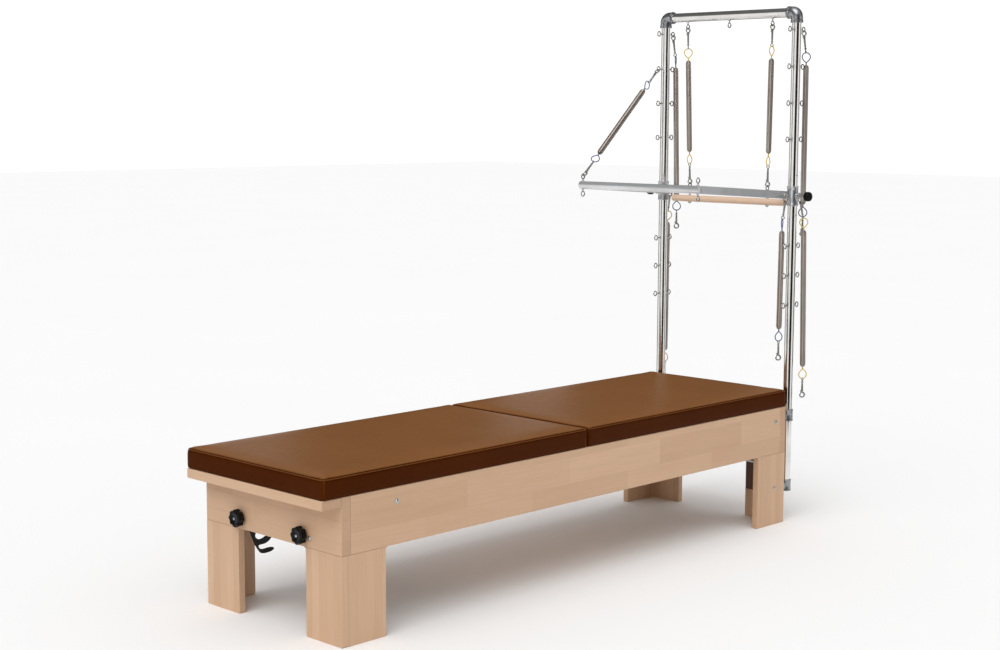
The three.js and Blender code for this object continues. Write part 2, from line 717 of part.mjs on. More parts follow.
function buildSprings() {
  const eyeReach = tower.tube + eye.reach;
  const backEye = tower.y + eyeReach;
  const frontEye = tower.y - eyeReach;
  const topEye = eyeHeights[0];
  const tail = 104;
  // name, eye, upper ring, lower ring
  const freeSprings = [
    {
      name: "arm_spring_left",
      eyePoint: [-tower.x, backEye, topEye],
      upper: [-tower.x + 18, backEye, topEye - coil.hook],
      lower: [-tower.x + 19, backEye + 22, topEye - coil.hook - 642],
    },
    {
      name: "arm_spring_right",
      eyePoint: [tower.x, backEye, topEye],
      upper: [tower.x, backEye + 25, topEye - coil.hook],
      lower: [tower.x, backEye + 28, topEye - coil.hook - 642],
    },
    {
      name: "leg_spring_left_back",
      eyePoint: [-tower.x, backEye, sleeve.z],
      upper: [-tower.x - 16, backEye + 4, sleeve.z - coil.hook],
      lower: [-tower.x - 20, backEye + 4, sleeve.z - coil.hook - 642],
    },
    {
      name: "leg_spring_right_front",
      eyePoint: [tower.x, frontEye, sleeve.z],
      upper: [tower.x - 17, frontEye + 2, sleeve.z - coil.hook],
      lower: [tower.x - 17, frontEye - 4, sleeve.z - coil.hook - 475],
    },
    {
      name: "leg_spring_right_back",
      eyePoint: [tower.x, backEye, sleeve.z],
      upper: [tower.x + 20, backEye + 8, sleeve.z - coil.hook],
      lower: [tower.x + 21, backEye + 26, sleeve.z - coil.hook - 642],
    },
  ];
  for (const { name, eyePoint, upper, lower } of freeSprings) {
    const body = hungSpring(eyePoint, upper, lower, tail);
    addPart(name, body, finishes.springSteel, eyePoint);
  }

  // Between two eyes the spring lies on one straight line.
  const along = (a, b, distance) => {
    const start = new THREE.Vector3(...a);
    const direction = new THREE.Vector3(...b).sub(start).normalize();
    return start.addScaledVector(direction, distance).toArray();
  };
  const distanceBetween = (a, b) => new THREE.Vector3(...a).distanceTo(new THREE.Vector3(...b));
  for (const [sideName, side] of Object.entries(SIDES)) {
    const high = [side * crossbarEyes.xs[2], tower.y, tower.crossbarZ - crossbarEyes.drop];
    const low = [side * dowel.eyeX, dowel.y, dowel.z + dowel.eyeHeight];
    const whole = distanceBetween(high, low);
    const lowerRing = along(high, low, whole - coil.hook);
    const body = hungSpring(
      high,
      along(high, low, coil.hook),
      lowerRing,
      coil.hook - eye.outer - 1.5,
    );
    addPart(`roll_down_spring_${sideName}`, body, finishes.springSteel, high);
  }

  const anchor = [-tower.x, frontEye, eyeHeights[1]];
  const barEye = [-barEyes.x, tower.y - bar.reach, bar.pivotZ + bar.rise + barEyes.height];
  const reach = distanceBetween(anchor, barEye);
  const lowerRing = along(anchor, barEye, reach - coil.hook);
  addPart(
    "bar_spring",
    hungSpring(anchor, along(anchor, barEye, coil.hook), lowerRing, 0),
    finishes.springSteel,
    anchor,
  );
  const hookStart = along(anchor, barEye, reach - coil.hook + 6 + GAP);
  const hookEnd = along(anchor, barEye, reach - eye.outer - 1.5);
  addPart("bar_spring_hook", rod(hookStart, hookEnd, 6, 8), finishes.steel);
}

buildFrame();
buildLegs();
buildMats();
buildBed();
buildCarriage();
buildFootbar();
buildFootHardware();
buildTower();
buildPushThroughBar();
buildRollDownBar();
buildSprings();

const extent = new THREE.Box3().setFromObject(machine);
machine.position.y = -(extent.min.y + extent.max.y) / 2;

export default machine;
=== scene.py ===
"""Pilates reformer with a spring tower, set up as a padded mat table.

Lengths are millimetres in the machine's own frame: X to the right, Y from the foot board's front
face towards the tower, Z up from the floor. Meshes are written in metres in the row's frame.
"""

from __future__ import annotations

import logging
import math
from dataclasses import dataclass
from enum import Enum

import bmesh
import bpy
import numpy as np
from mathutils import Matrix, Vector


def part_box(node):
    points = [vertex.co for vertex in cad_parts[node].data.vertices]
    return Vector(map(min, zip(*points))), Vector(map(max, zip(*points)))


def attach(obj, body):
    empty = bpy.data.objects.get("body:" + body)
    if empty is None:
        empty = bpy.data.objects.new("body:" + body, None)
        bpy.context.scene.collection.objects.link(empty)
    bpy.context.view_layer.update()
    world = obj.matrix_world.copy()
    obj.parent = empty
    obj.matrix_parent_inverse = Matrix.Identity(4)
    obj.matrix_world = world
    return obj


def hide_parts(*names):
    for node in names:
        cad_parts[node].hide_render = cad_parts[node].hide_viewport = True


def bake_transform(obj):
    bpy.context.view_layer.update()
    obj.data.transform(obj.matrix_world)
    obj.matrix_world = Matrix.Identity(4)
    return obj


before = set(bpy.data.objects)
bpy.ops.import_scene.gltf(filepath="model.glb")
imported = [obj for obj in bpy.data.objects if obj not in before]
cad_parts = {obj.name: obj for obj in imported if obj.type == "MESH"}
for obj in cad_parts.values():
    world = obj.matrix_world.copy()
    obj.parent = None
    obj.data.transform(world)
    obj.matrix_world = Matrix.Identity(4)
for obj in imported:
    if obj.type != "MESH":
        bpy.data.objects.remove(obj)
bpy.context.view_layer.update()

Point = tuple[float, float, float]
Array = np.ndarray

MM = 0.001
FRONT_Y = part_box("foot_end_board")[0].y
SIDES = {"left": -1, "right": 1}
log = logging.getLogger("reformer")


class Axis(Enum):
    """A direction of the machine, named for use as a grain or a bolt direction."""

    X = (1.0, 0.0, 0.0)
    Y = (0.0, 1.0, 0.0)
    Z = (0.0, 0.0, 1.0)


class Slot(Enum):
    """The record's material slots."""

    MAPLE = "maple"
    DARK_WOOD = "dark_wood"
    DOWEL = "dowel_wood"
    VINYL = "vinyl"
    POLISHED = "polished_steel"
    CAST = "cast_metal"
    ALUMINIUM = "aluminium"
    SPRING = "spring_steel"
    PLASTIC = "black_plastic"
    BLACK_STEEL = "black_steel"
    TYRE = "wheel_tyre"
    YELLOW = "spring_yellow"
    BLUE = "spring_blue"
    VIOLET = "spring_violet"


def unit(vectors: Array) -> Array:
    """Vectors scaled to length one."""
    vectors = np.asarray(vectors, float)
    return vectors / np.linalg.norm(vectors, axis=-1, keepdims=True)


def across(direction: Array) -> tuple[Array, Array]:
    """Two unit vectors square to a direction and to each other.

    Args:
        direction: The line to stand square to.

    Returns:
        The two vectors, the first horizontal unless the direction is vertical.
    """
    direction = unit(np.array(direction, float))
    helper = np.array([0.0, 0.0, 1.0]) if abs(direction[2]) < 0.9 else np.array([1.0, 0.0, 0.0])
    first = unit(np.cross(helper, direction))
    return first, np.cross(direction, first)


def turned(profile: Array, start: Array, direction: Array, sides: int = 32) -> Array:
    """A turned surface: point (i, j) is start + height_i * d + radius_i * (cos t_j * a + sin t_j * b).

    Args:
        profile: Rows of radius and height along the direction.
        start: Where height 0 lies.
        direction: The axis.
        sides: Columns round the axis.

    Returns:
        A grid of points, rows by sides by 3.
    """
    profile = np.array(profile, float)
    axis = unit(np.array(direction, float))
    first, second = across(axis)
    angle = np.linspace(0, 2 * np.pi, sides, endpoint=False)[None, :, None]
    spoke = np.cos(angle) * first + np.sin(angle) * second
    return np.array(start, float) + profile[:, 1, None, None] * axis + profile[:, 0, None, None] * spoke


def circle(radius: float, sides: int) -> Array:
    """Points (radius * cos t, radius * sin t) round a circle."""
    angle = np.linspace(0, 2 * np.pi, sides, endpoint=False)
    return radius * np.stack([np.cos(angle), np.sin(angle)], axis=-1)


def rounded_end(radius: float, ease: float, steps: int = 4) -> Array:
    """Rows of (radius, distance) from the middle of a rod's end round its edge to its full size.

    The edge is a quarter circle of radius ease: radius - ease + ease * sin t, ease - ease * cos t.

    Args:
        radius: The rod's radius.
        ease: The size of the round.
        steps: Rows in the round.

    Returns:
        Rows of radius and distance.
    """
    angle = np.linspace(0, np.pi / 2, steps + 1)
    rim = np.stack([radius - ease * (1 - np.sin(angle)), ease * (1 - np.cos(angle))], axis=-1)
    return np.vstack([[0.0, 0.0], rim])


def rod(path: Array, radius: float | Array, normal: Array, sides: int = 16, ease: float = 0.5) -> Array:
    """A round bar along a path, closed at both ends.

    Row i is a circle of the bar's radius square to the path; at each end the circles shrink to a
    point along rounded_end.

    Args:
        path: Rows of points, two or more.
        radius: One radius, or one for each point.
        normal: A direction never parallel to the path.
        sides: Columns round the bar.
        ease: The size of the rounded edge at each end.

    Returns:
        A grid of points.
    """
    path = np.array(path, float)
    if len(path) == 2:
        path = path[0] + np.linspace(0, 1, 5)[:, None] * (path[1] - path[0])
    radii = np.broadcast_to(np.array(radius, float), (len(path),))
    head = rounded_end(radii[0], min(ease, radii[0]))
    tail = rounded_end(radii[-1], min(ease, radii[-1]))[::-1]
    start, end = unit(path[1] - path[0]), unit(path[-1] - path[-2])
    rows = np.vstack(
        [path[0] + head[:, 1:] * start, path[1:-1], path[-1] - tail[:, 1:] * end]
    )
    size = np.concatenate([head[:, 0], radii[1:-1], tail[:, 0]])
    # The rows at an end can share one place, so the directions come from the path and not from them.
    lengths = np.concatenate(
        [np.full(len(head), 0), np.arange(1, len(path) - 1), np.full(len(tail), len(path) - 1)]
    )
    tangent = unit(np.gradient(path, axis=0))[lengths]
    first = unit(np.cross(tangent, np.broadcast_to(np.array(normal, float), tangent.shape)))
    second = np.cross(tangent, first)
    ring = circle(1.0, sides)
    spoke = ring[None, :, :1] * first[:, None] + ring[None, :, 1:] * second[:, None]
    return rows[:, None] + size[:, None, None] * spoke


def hoop(centre: Array, normal: Array, ring: float, wire: float, around: int = 28, sides: int = 10) -> Array:
    """A ring of round wire: point (i, j) is centre + (ring + wire * cos v_j) * spoke_i + wire * sin v_j * n.

    Args:
        centre: The ring's middle.
        normal: The direction that the ring faces.
        ring: Radius to the middle of the wire.
        wire: Radius of the wire.
        around: Rows round the ring.
        sides: Columns round the wire.

    Returns:
        A grid of points, closed both ways.
    """
    axis = unit(np.array(normal, float))
    first, second = across(axis)
    turn = np.linspace(0, 2 * np.pi, around, endpoint=False)[:, None, None]
    spoke = np.cos(turn) * first + np.sin(turn) * second
    round_wire = np.linspace(0, 2 * np.pi, sides, endpoint=False)[None, :, None]
    return np.array(centre, float) + (
        ring + wire * np.cos(round_wire)
    ) * spoke + wire * np.sin(round_wire) * axis


def wire_loop(path: Array, normal: Array, wire: float, sides: int = 10) -> Array:
    """Round wire along a flat closed path: point (i, j) is path_i + wire * (cos v_j * o_i + sin v_j * n).

    o_i is square to the path and to the normal n.

    Args:
        path: Rows of points, the last not repeating the first.
        normal: The direction that the loop faces.
        wire: Radius of the wire.
        sides: Columns round the wire.

    Returns:
        A grid of points, closed both ways.
    """
    axis = unit(np.array(normal, float))
    along = unit(np.roll(path, -1, axis=0) - np.roll(path, 1, axis=0))
    outward = unit(np.cross(along, axis))
    ring = circle(wire, sides)
    return path[:, None] + ring[None, :, :1] * outward[:, None] + ring[None, :, 1:] * axis


def arc(
    centre: Array, first: Array, second: Array, radius: float, start: float, end: float, steps: int
) -> Array:
    """Points centre + radius * (cos t * first + sin t * second) for t from start to end in degrees."""
    angle = np.radians(np.linspace(start, end, steps))[:, None]
    return np.array(centre, float) + radius * (
        np.cos(angle) * np.array(first, float) + np.sin(angle) * np.array(second, float)
    )


def smooth_path(knots: Array, steps: int = 10, closed: bool = False) -> Array:
    """A curve through every knot.

    Each span is the cubic whose end slopes are half the chord across its neighbours.

    Args:
        knots: Rows of points.
        steps: Points in each span.
        closed: Whether the curve returns to its first knot.

    Returns:
        Rows of points.
    """
    knots = np.array(knots, float)
    ring = np.vstack([knots[-1:], knots, knots[:2]]) if closed else np.vstack([knots[:1], knots, knots[-1:]])
    before, start, end, after = ring[:-3, None], ring[1:-2, None], ring[2:-1, None], ring[3:, None]
    t = np.linspace(0, 1, steps, endpoint=False)[None, :, None]
    curve = 0.5 * (
        2 * start
        + (end - before) * t
        + (2 * before - 5 * start + 4 * end - after) * t**2
        + (3 * start - before - 3 * end + after) * t**3
    )
    curve = curve.reshape(-1, knots.shape[1])
    return curve if closed else np.vstack([curve, knots[-1:]])


def rounded_outline(low: Array, high: Array, radius: float, steps: int = 8) -> Array:
    """A rectangle's outline with quarter circles at its corners, running anticlockwise.

    Args:
        low: The corner with the smallest values.
        high: The corner with the largest values.
        radius: The corner radius.
        steps: Points in each corner.

    Returns:
        Rows of (s, t).
    """
    low, high = np.array(low, float) + radius, np.array(high, float) - radius
    centres = np.array([[high[0], high[1]], [low[0], high[1]], [low[0], low[1]], [high[0], low[1]]])
    start = np.array([0.0, 90.0, 180.0, 270.0])
    angle = np.radians(start[:, None] + np.linspace(0, 90, steps)[None, :])
    points = centres[:, None] + radius * np.stack([np.cos(angle), np.sin(angle)], axis=-1)
    return points.reshape(-1, 2)


class Skin:
    """Collects surfaces in machine millimetres and turns them into one closed mesh object."""

    def __init__(self) -> None:
        """Starts with no surface."""
        self._points: list[Array] = []
        self._faces: list[list[list[int]]] = []
        self._count = 0

    def grid(self, points: Array, around: bool = True, closed: bool = False) -> Skin:
        """Adds a grid of points as four-sided faces.

        Args:
            points: Rows by columns by 3.
            around: Whether the last column joins the first.
            closed: Whether the last row joins the first.

        Returns:
            This skin.
        """
        rows, columns = points.shape[:2]
        index = np.arange(rows * columns).reshape(rows, columns) + self._count
        if closed:
            index = np.vstack([index, index[:1]])
        if around:
            index = np.hstack([index, index[:, :1]])
        faces = np.stack([index[:-1, :-1], index[:-1, 1:], index[1:, 1:], index[1:, :-1]], axis=-1)
        self._points.append(points.reshape(-1, 3))
        self._faces.append(faces.reshape(-1, 4).tolist())
        self._count += rows * columns
        return self

    def slab(self, outline: Array, low: float, high: float, axis: Axis) -> Skin:
        """Adds a flat piece: an outline carried from low to high along an axis, with a cap at each end.

        Args:
            outline: Rows of the other two coordinates, in the order X, Y, Z.
            low: Where the piece starts along the axis.
            high: Where it ends.
            axis: The direction of its thickness.

        Returns:
            This skin.
        """
        place = [Axis.X, Axis.Y, Axis.Z].index(axis)
        outline = np.array(outline, float)
        walls = np.stack([np.insert(outline, place, level, axis=1) for level in (low, high)])
        count = len(outline)
        start = self._count
        self.grid(walls)
        caps = [list(range(start, start + count)), list(range(start + count, start + 2 * count))]
        self._faces.append(caps)
        return self

    def block(self, low: Array, high: Array) -> Skin:
        """Adds a rectangular block between two corners."""
        low, high = np.array(low, float), np.array(high, float)
        outline = [[low[0], low[1]], [high[0], low[1]], [high[0], high[1]], [low[0], high[1]]]
        return self.slab(outline, low[2], high[2], Axis.Z)

    def mesh(self, name: str) -> bpy.types.Object:
        """Makes the object: doubles merged, faces turned outwards, place in the mesh.

        Args:
            name: The piece's name.

        Returns:
            The new object, at the origin and unturned.
        """
        points = np.vstack(self._points) * MM + np.array([0.0, FRONT_Y, 0.0])
        made = bpy.data.meshes.new(name)
        made.from_pydata(points.tolist(), [], [face for part in self._faces for face in part])
        shell = bmesh.new()
        shell.from_mesh(made)
        bmesh.ops.remove_doubles(shell, verts=shell.verts, dist=2e-7)
        bmesh.ops.recalc_face_normals(shell, faces=shell.faces)
        shell.to_mesh(made)
        shell.free()
        piece = bpy.data.objects.new(name, made)
        bpy.context.scene.collection.objects.link(piece)
        return piece


def soften(piece: bpy.types.Object, width: float, segments: int = 3, angle: float = 35.0) -> None:
    """Rounds a piece's sharp edges.

    Args:
        piece: The piece.
        width: Size of the round in millimetres.
        segments: Faces across the round.
        angle: Edges that turn by more than this many degrees are rounded.
    """
    bevel = piece.modifiers.new("eased edges", "BEVEL")
    bevel.width = width * MM
    bevel.segments = segments
    bevel.limit_method = "ANGLE"
    bevel.angle_limit = math.radians(angle)
    bevel.harden_normals = False


def finished(
    piece: bpy.types.Object, body: str, finish: bpy.types.Material,
    stands_for: tuple[str, ...] = (), smooth: float = 32.0,
) -> bpy.types.Object:
    """Dresses a piece, sets it on its body and reports it.

    Args:
        piece: The piece.
        body: The body that it moves with, or "" if it blends between two.
        finish: Its material.
        stands_for: CAD nodes that it replaces.
        smooth: Edges that turn by more than this many degrees stay sharp.

    Returns:
        The piece.
    """
    piece.data.materials.clear()
    piece.data.materials.append(finish)
    piece.data.shade_smooth()
    piece.data.set_sharp_from_angle(angle=math.radians(smooth))
    if body:
        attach(piece, body)
    if stands_for:
        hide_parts(*stands_for)
    log.info("%s: %d faces, on %s", piece.name, len(piece.data.polygons), body or "two bodies")
    return piece


# ---------------------------------------------------------------- finishes
class Recipe:
    """One material's nodes, with short calls for the ones that the finishes share."""

    def __init__(self, name: str) -> None:
        """Starts a material that has only its shader.

        Args:
            name: The material's name.
        """
        self.material = bpy.data.materials.new(name)
        self.material.use_nodes = True
        self.tree = self.material.node_tree
        self.shader = self.tree.nodes["Principled BSDF"]
        self.coordinates = self.tree.nodes.new("ShaderNodeTexCoord")

    def node(
        self, kind: str, inputs: dict[str | int, object] | None = None, **settings: object
    ) -> bpy.types.Node:
        """Adds a node.

        Args:
            kind: The node's type without the "ShaderNode" at its start.
            inputs: Sockets with what they are linked to or set to.
            **settings: The node's own properties.

        Returns:
            The node.
        """
        made = self.tree.nodes.new("ShaderNode" + kind)
        for key, value in settings.items():
            setattr(made, key, value)
        for socket, value in (inputs or {}).items():
            if isinstance(value, bpy.types.NodeSocket):
                self.tree.links.new(value, made.inputs[socket])
            else:
                made.inputs[socket].default_value = value
        return made

    def stretched(self, scale: Point, turn: Point = (0, 0, 0)) -> bpy.types.NodeSocket:
        """Object coordinates, turned by degrees and then scaled along each direction."""
        turned_by = tuple(math.radians(a) for a in turn)
        place = self.node("Mapping", {"Vector": self.coordinates.outputs["Object"], "Rotation": turned_by})
        return self.node("Mapping", {"Vector": place.outputs[0], "Scale": scale}).outputs[0]

    def noise(
        self, where: bpy.types.NodeSocket, scale: float, detail: float = 4.0, rough: float = 0.5
    ) -> bpy.types.NodeSocket:
        """A cloudy value around a half."""
        sockets = {"Vector": where, "Scale": scale, "Detail": detail, "Roughness": rough}
        return self.node("TexNoise", sockets).outputs[0]

    def between(
        self, value: bpy.types.NodeSocket, low: float, high: float, out_low: float = 0.0, out_high: float = 1.0
    ) -> bpy.types.NodeSocket:
        """A value taken from low..high to out_low..out_high, and held at the ends."""
        sockets = {"Value": value, "From Min": low, "From Max": high, "To Min": out_low, "To Max": out_high}
        return self.node("MapRange", sockets, clamp=True).outputs[0]

    def maths(self, operation: str, first: object, second: object = 0.0) -> bpy.types.NodeSocket:
        """Two values put together by one operation."""
        return self.node("Math", {0: first, 1: second}, operation=operation).outputs[0]

    def blend(self, share: object, first: object, second: object, mode: str = "MIX") -> bpy.types.NodeSocket:
        """Two colours mixed by a share.

        Args:
            share: How much of the second colour, 0 to 1.
            first: A colour or a socket.
            second: A colour or a socket.
            mode: How they mix.

        Returns:
            The mixed colour's socket.
        """
        mixer = self.tree.nodes.new("ShaderNodeMix")
        mixer.data_type = "RGBA"
        mixer.blend_type = mode
        for index, value in ((0, share), (6, first), (7, second)):
            if isinstance(value, bpy.types.NodeSocket):
                self.tree.links.new(value, mixer.inputs[index])
            else:
                mixer.inputs[index].default_value = value
        return mixer.outputs[2]

    def relief(
        self, height: bpy.types.NodeSocket, depth: float, strength: float = 1.0,
        under: bpy.types.NodeSocket | None = None,
    ) -> bpy.types.NodeSocket:
        """A bumpy normal.

        Args:
            height: The height, 0 to 1.
            depth: What height 1 stands for, in millimetres.
            strength: Share of the effect.
            under: A normal to build on.

        Returns:
            The normal's socket.
        """
        bump = self.node("Bump", {"Height": height, "Distance": depth * MM, "Strength": strength})
        if under is not None:
            self.tree.links.new(under, bump.inputs["Normal"])
        return bump.outputs[0]

    def dress(self, **sockets: object) -> bpy.types.Material:
        """Sets or links the shader's sockets, named with _ for a space.

        Args:
            **sockets: Values and sockets.

        Returns:
            The material.
        """
        for name, value in sockets.items():
            socket = self.shader.inputs[name.replace("_", " ")]
            if isinstance(value, bpy.types.NodeSocket):
                self.tree.links.new(value, socket)
            else:
                socket.default_value = value
        return self.material


def tone(red: float, green: float, blue: float) -> tuple[float, float, float, float]:
    """A display colour, 0 to 255, as the linear colour that a shader takes."""
    value = np.array([red, green, blue]) / 255
    linear = np.where(value <= 0.04045, value / 12.92, ((value + 0.055) / 1.055) ** 2.4)
    return (*(float(v) for v in linear), 1.0)


@dataclass(frozen=True)
class Timber:
    """Glued-up solid wood: staves of slightly different tone, long fibres, pores and an oiled surface."""

    name: str
    grain: Axis
    stack: Axis
    light: tuple[float, ...] = tone(211, 176, 145)
    dark: tuple[float, ...] = tone(189, 152, 120)
    stave: float = 46.0
    length: float = 420.0
    shift: float = 0.0
    contrast: float = 0.46
    roughness: float = 0.46

    def material(self) -> bpy.types.Material:
        """Fibres are noise stretched along the grain; staves are bricks whose rows stack across it."""
        recipe = Recipe(self.name)
        grain, stack = np.array(self.grain.value), np.array(self.stack.value)
        third = 1 - grain - stack

        def fibre(along: float, wide: float) -> Point:
            """The scale of a noise drawn out along the grain."""
            return tuple(float(v) for v in grain * along + (stack + third) * wide)

        split = recipe.node("SeparateXYZ", {0: recipe.coordinates.outputs["Object"]})
        part = {Axis.X: split.outputs[0], Axis.Y: split.outputs[1], Axis.Z: split.outputs[2]}
        waver = recipe.noise(recipe.stretched(fibre(1.2, 9.0)), 1.0, 2.0)
        rows = recipe.maths("ADD", part[self.stack], 7.0 + self.shift)
        staves = recipe.node(
            "TexBrick",
            {
                "Vector": recipe.node(
                    "CombineXYZ", {0: recipe.maths("ADD", part[self.grain], 9.0), 1: rows}
                ).outputs[0],
                "Color1": (0.0, 0.0, 0.0, 1.0),
                "Color2": (1.0, 1.0, 1.0, 1.0),
                "Mortar": (0.5, 0.5, 0.5, 1.0),
                "Scale": 1.0,
                "Mortar Size": 0.00035,
                "Mortar Smooth": 0.4,
                "Bias": 0.0,
                "Brick Width": self.length * MM,
                "Row Height": self.stave * MM,
            },
            offset=0.37,
            squash=1.0,
        )
        cloud = recipe.noise(recipe.stretched(fibre(3.0, 26.0)), 1.0, 5.0, 0.6)
        streak = recipe.noise(recipe.stretched(fibre(5.0, 210.0)), 1.0, 6.0, 0.62)
        pores = recipe.noise(recipe.stretched(fibre(60.0, 1500.0)), 1.0, 2.0)
        rings = recipe.node(
            "TexWave",
            {
                "Vector": recipe.stretched(fibre(0.9, 20.0)),
                "Scale": 2.2,
                "Distortion": 6.0,
                "Detail": 3.0,
                "Detail Scale": 1.4,
            },
            bands_direction="DIAGONAL",
        ).outputs[1]
        mixed = recipe.maths("MULTIPLY_ADD", staves.outputs[0], 0.3)
        recipe.tree.links.new(recipe.maths("MULTIPLY", cloud, 0.38), mixed.node.inputs[2])
        shade = recipe.maths("ADD", mixed, recipe.maths("MULTIPLY", recipe.maths("ADD", streak, waver), 0.22))
        share = recipe.between(shade, 0.28, 0.92, 0.0, self.contrast * 2)
        body = recipe.blend(share, self.light, self.dark)
        body = recipe.blend(recipe.between(rings, 0.55, 1.0, 0.0, 0.16), body, self.dark)
        body = recipe.blend(recipe.between(pores, 0.62, 0.78, 0.0, 0.22), body, tone(146, 112, 84))
        seam = recipe.between(staves.outputs[1], 0.0, 1.0, 0.0, 0.35)
        body = recipe.blend(seam, body, tone(150, 116, 88))
        facing = recipe.node(
            "VectorMath",
            {0: recipe.coordinates.outputs["Normal"], 1: self.grain.value},
            operation="DOT_PRODUCT",
        )
        end_grain = recipe.between(recipe.maths("ABSOLUTE", facing.outputs["Value"]), 0.6, 0.9, 0.0, 0.45)
        speckle = recipe.noise(recipe.coordinates.outputs["Object"], 900.0, 3.0, 0.7)
        ends = recipe.blend(recipe.between(speckle, 0.35, 0.7), tone(162, 128, 102), tone(188, 154, 126))
        body = recipe.blend(end_grain, body, ends)
        surface = recipe.relief(streak, 0.12, 0.25)
        surface = recipe.relief(pores, 0.05, 0.3, surface)
        gloss = recipe.between(streak, 0.3, 0.7, self.roughness - 0.05, self.roughness + 0.07)
        return recipe.dress(
            Base_Color=body, Roughness=gloss, Normal=surface,
            Coat_Weight=0.1, Coat_Roughness=0.35, Specular_IOR_Level=0.35,
        )


@dataclass(frozen=True)
class Layers:
    """The edge and face of plywood: thin plies stacked upwards, light and dark in turn."""

    name: str
    ply: float = 1.6

    def material(self) -> bpy.types.Material:
        """The plies are a wave along Z; the fibres are noise stretched along Y."""
        recipe = Recipe(self.name)
        plies = recipe.node(
            "TexWave",
            {
                "Vector": recipe.coordinates.outputs["Object"],
                "Scale": 0.5 / (self.ply * MM) / 10,
                "Distortion": 0.6,
                "Detail Scale": 3.0,
            },
            bands_direction="Z",
        ).outputs[1]
        fibre = recipe.noise(recipe.stretched((240.0, 5.0, 240.0)), 1.0, 5.0, 0.6)
        body = recipe.blend(recipe.between(plies, 0.35, 0.65), tone(196, 158, 116), tone(150, 112, 76))
        body = recipe.blend(recipe.between(fibre, 0.3, 0.8, 0.0, 0.4), body, tone(214, 182, 142))
        return recipe.dress(Base_Color=body, Roughness=0.62, Normal=recipe.relief(fibre, 0.1, 0.3))


@dataclass(frozen=True)
class Leathercloth:
    """Brown upholstery vinyl: fine pebble grain, soft creases, and a lighter colour on its upward faces that is
    painted light from above.
    """

    name: str
    deep: tuple[float, ...] = (0.052, 0.0095, 0.0, 1.0)
    worn: tuple[float, ...] = (0.064, 0.0135, 0.0, 1.0)
    # lid is the colour of upward faces: painted light, lighter than the sides as if lit from above.
    lid: tuple[float, ...] = (0.205, 0.086, 0.029, 1.0)
    pebble: float = 620.0
    roughness: float = 0.38

    def material(self) -> bpy.types.Material:
        """Pebbles are Voronoi cells; broad noise varies the colour, the gloss and the stretch of the cloth;
        upward faces take the lid colour as painted light.
        """
        recipe = Recipe(self.name)
        place = recipe.coordinates.outputs["Object"]
        pebbles = recipe.node(
            "TexVoronoi", {"Vector": place, "Scale": self.pebble}, feature="SMOOTH_F1"
        ).outputs[0]
        broad = recipe.noise(place, 3.2, 4.0, 0.55)
        fine = recipe.noise(place, 46.0, 5.0, 0.6)
        creases = recipe.noise(recipe.stretched((14.0, 9.0, 30.0)), 1.0, 6.0, 0.65)
        share = recipe.between(recipe.maths("ADD", broad, recipe.maths("MULTIPLY", fine, 0.5)), 0.5, 1.05)
        body = recipe.blend(share, self.deep, self.worn)
        # Painted light: faces that point up blend to the lighter lid colour, as if lit from above.
        up = recipe.node("SeparateXYZ", {0: recipe.coordinates.outputs["Normal"]}).outputs[2]
        painted_top_light = recipe.between(recipe.maths("ADD", up, recipe.maths("MULTIPLY", fine, 0.04)), 0.86, 1.0)
        lid = recipe.blend(share, self.lid, tuple(1.14 * c for c in self.lid[:3]) + (1.0,))
        body = recipe.blend(painted_top_light, body, lid)
        body = recipe.blend(recipe.between(pebbles, 0.55, 0.95, 0.0, 0.22), body, (0.045, 0.011, 0.0, 1.0))
        surface = recipe.relief(broad, 1.6, 0.25)
        surface = recipe.relief(creases, 0.5, 0.12, surface)
        surface = recipe.relief(pebbles, 0.16, 0.35, surface)
        gloss = recipe.between(fine, 0.25, 0.75, self.roughness - 0.05, self.roughness + 0.06)
        return recipe.dress(Base_Color=body, Roughness=gloss, Normal=surface, Specular_IOR_Level=0.035)


@dataclass(frozen=True)
class Metal:
    """A metal: its colour, its polish, and lines or pits left by how it was made."""

    name: str
    colour: tuple[float, ...]
    roughness: float
    lines: Point = (220.0, 220.0, 220.0)
    depth: float = 0.02
    variation: float = 0.06
    metallic: float = 1.0
    stain: tuple[float, ...] | None = None

    def material(self) -> bpy.types.Material:
        """Lines are noise stretched along the finish; broad noise breaks up the colour and the gloss."""
        recipe = Recipe(self.name)
        marks = recipe.noise(recipe.stretched(self.lines), 1.0, 5.0, 0.6)
        broad = recipe.noise(recipe.coordinates.outputs["Object"], 9.0, 4.0, 0.6)
        darker = tuple(0.78 * c for c in self.colour[:3]) + (1.0,)
        body = recipe.blend(recipe.between(broad, 0.3, 0.75), self.colour, self.stain or darker)
        body = recipe.blend(recipe.between(marks, 0.5, 0.85, 0.0, 0.3), body, darker)
        gloss = recipe.between(
            recipe.maths("ADD", marks, broad), 0.6, 1.4, max(
                self.roughness - self.variation, 0.04
            ), self.roughness + self.variation
        )
        return recipe.dress(
            Base_Color=body, Metallic=self.metallic, Roughness=gloss,
            Normal=recipe.relief(marks, self.depth, 0.4),
        )


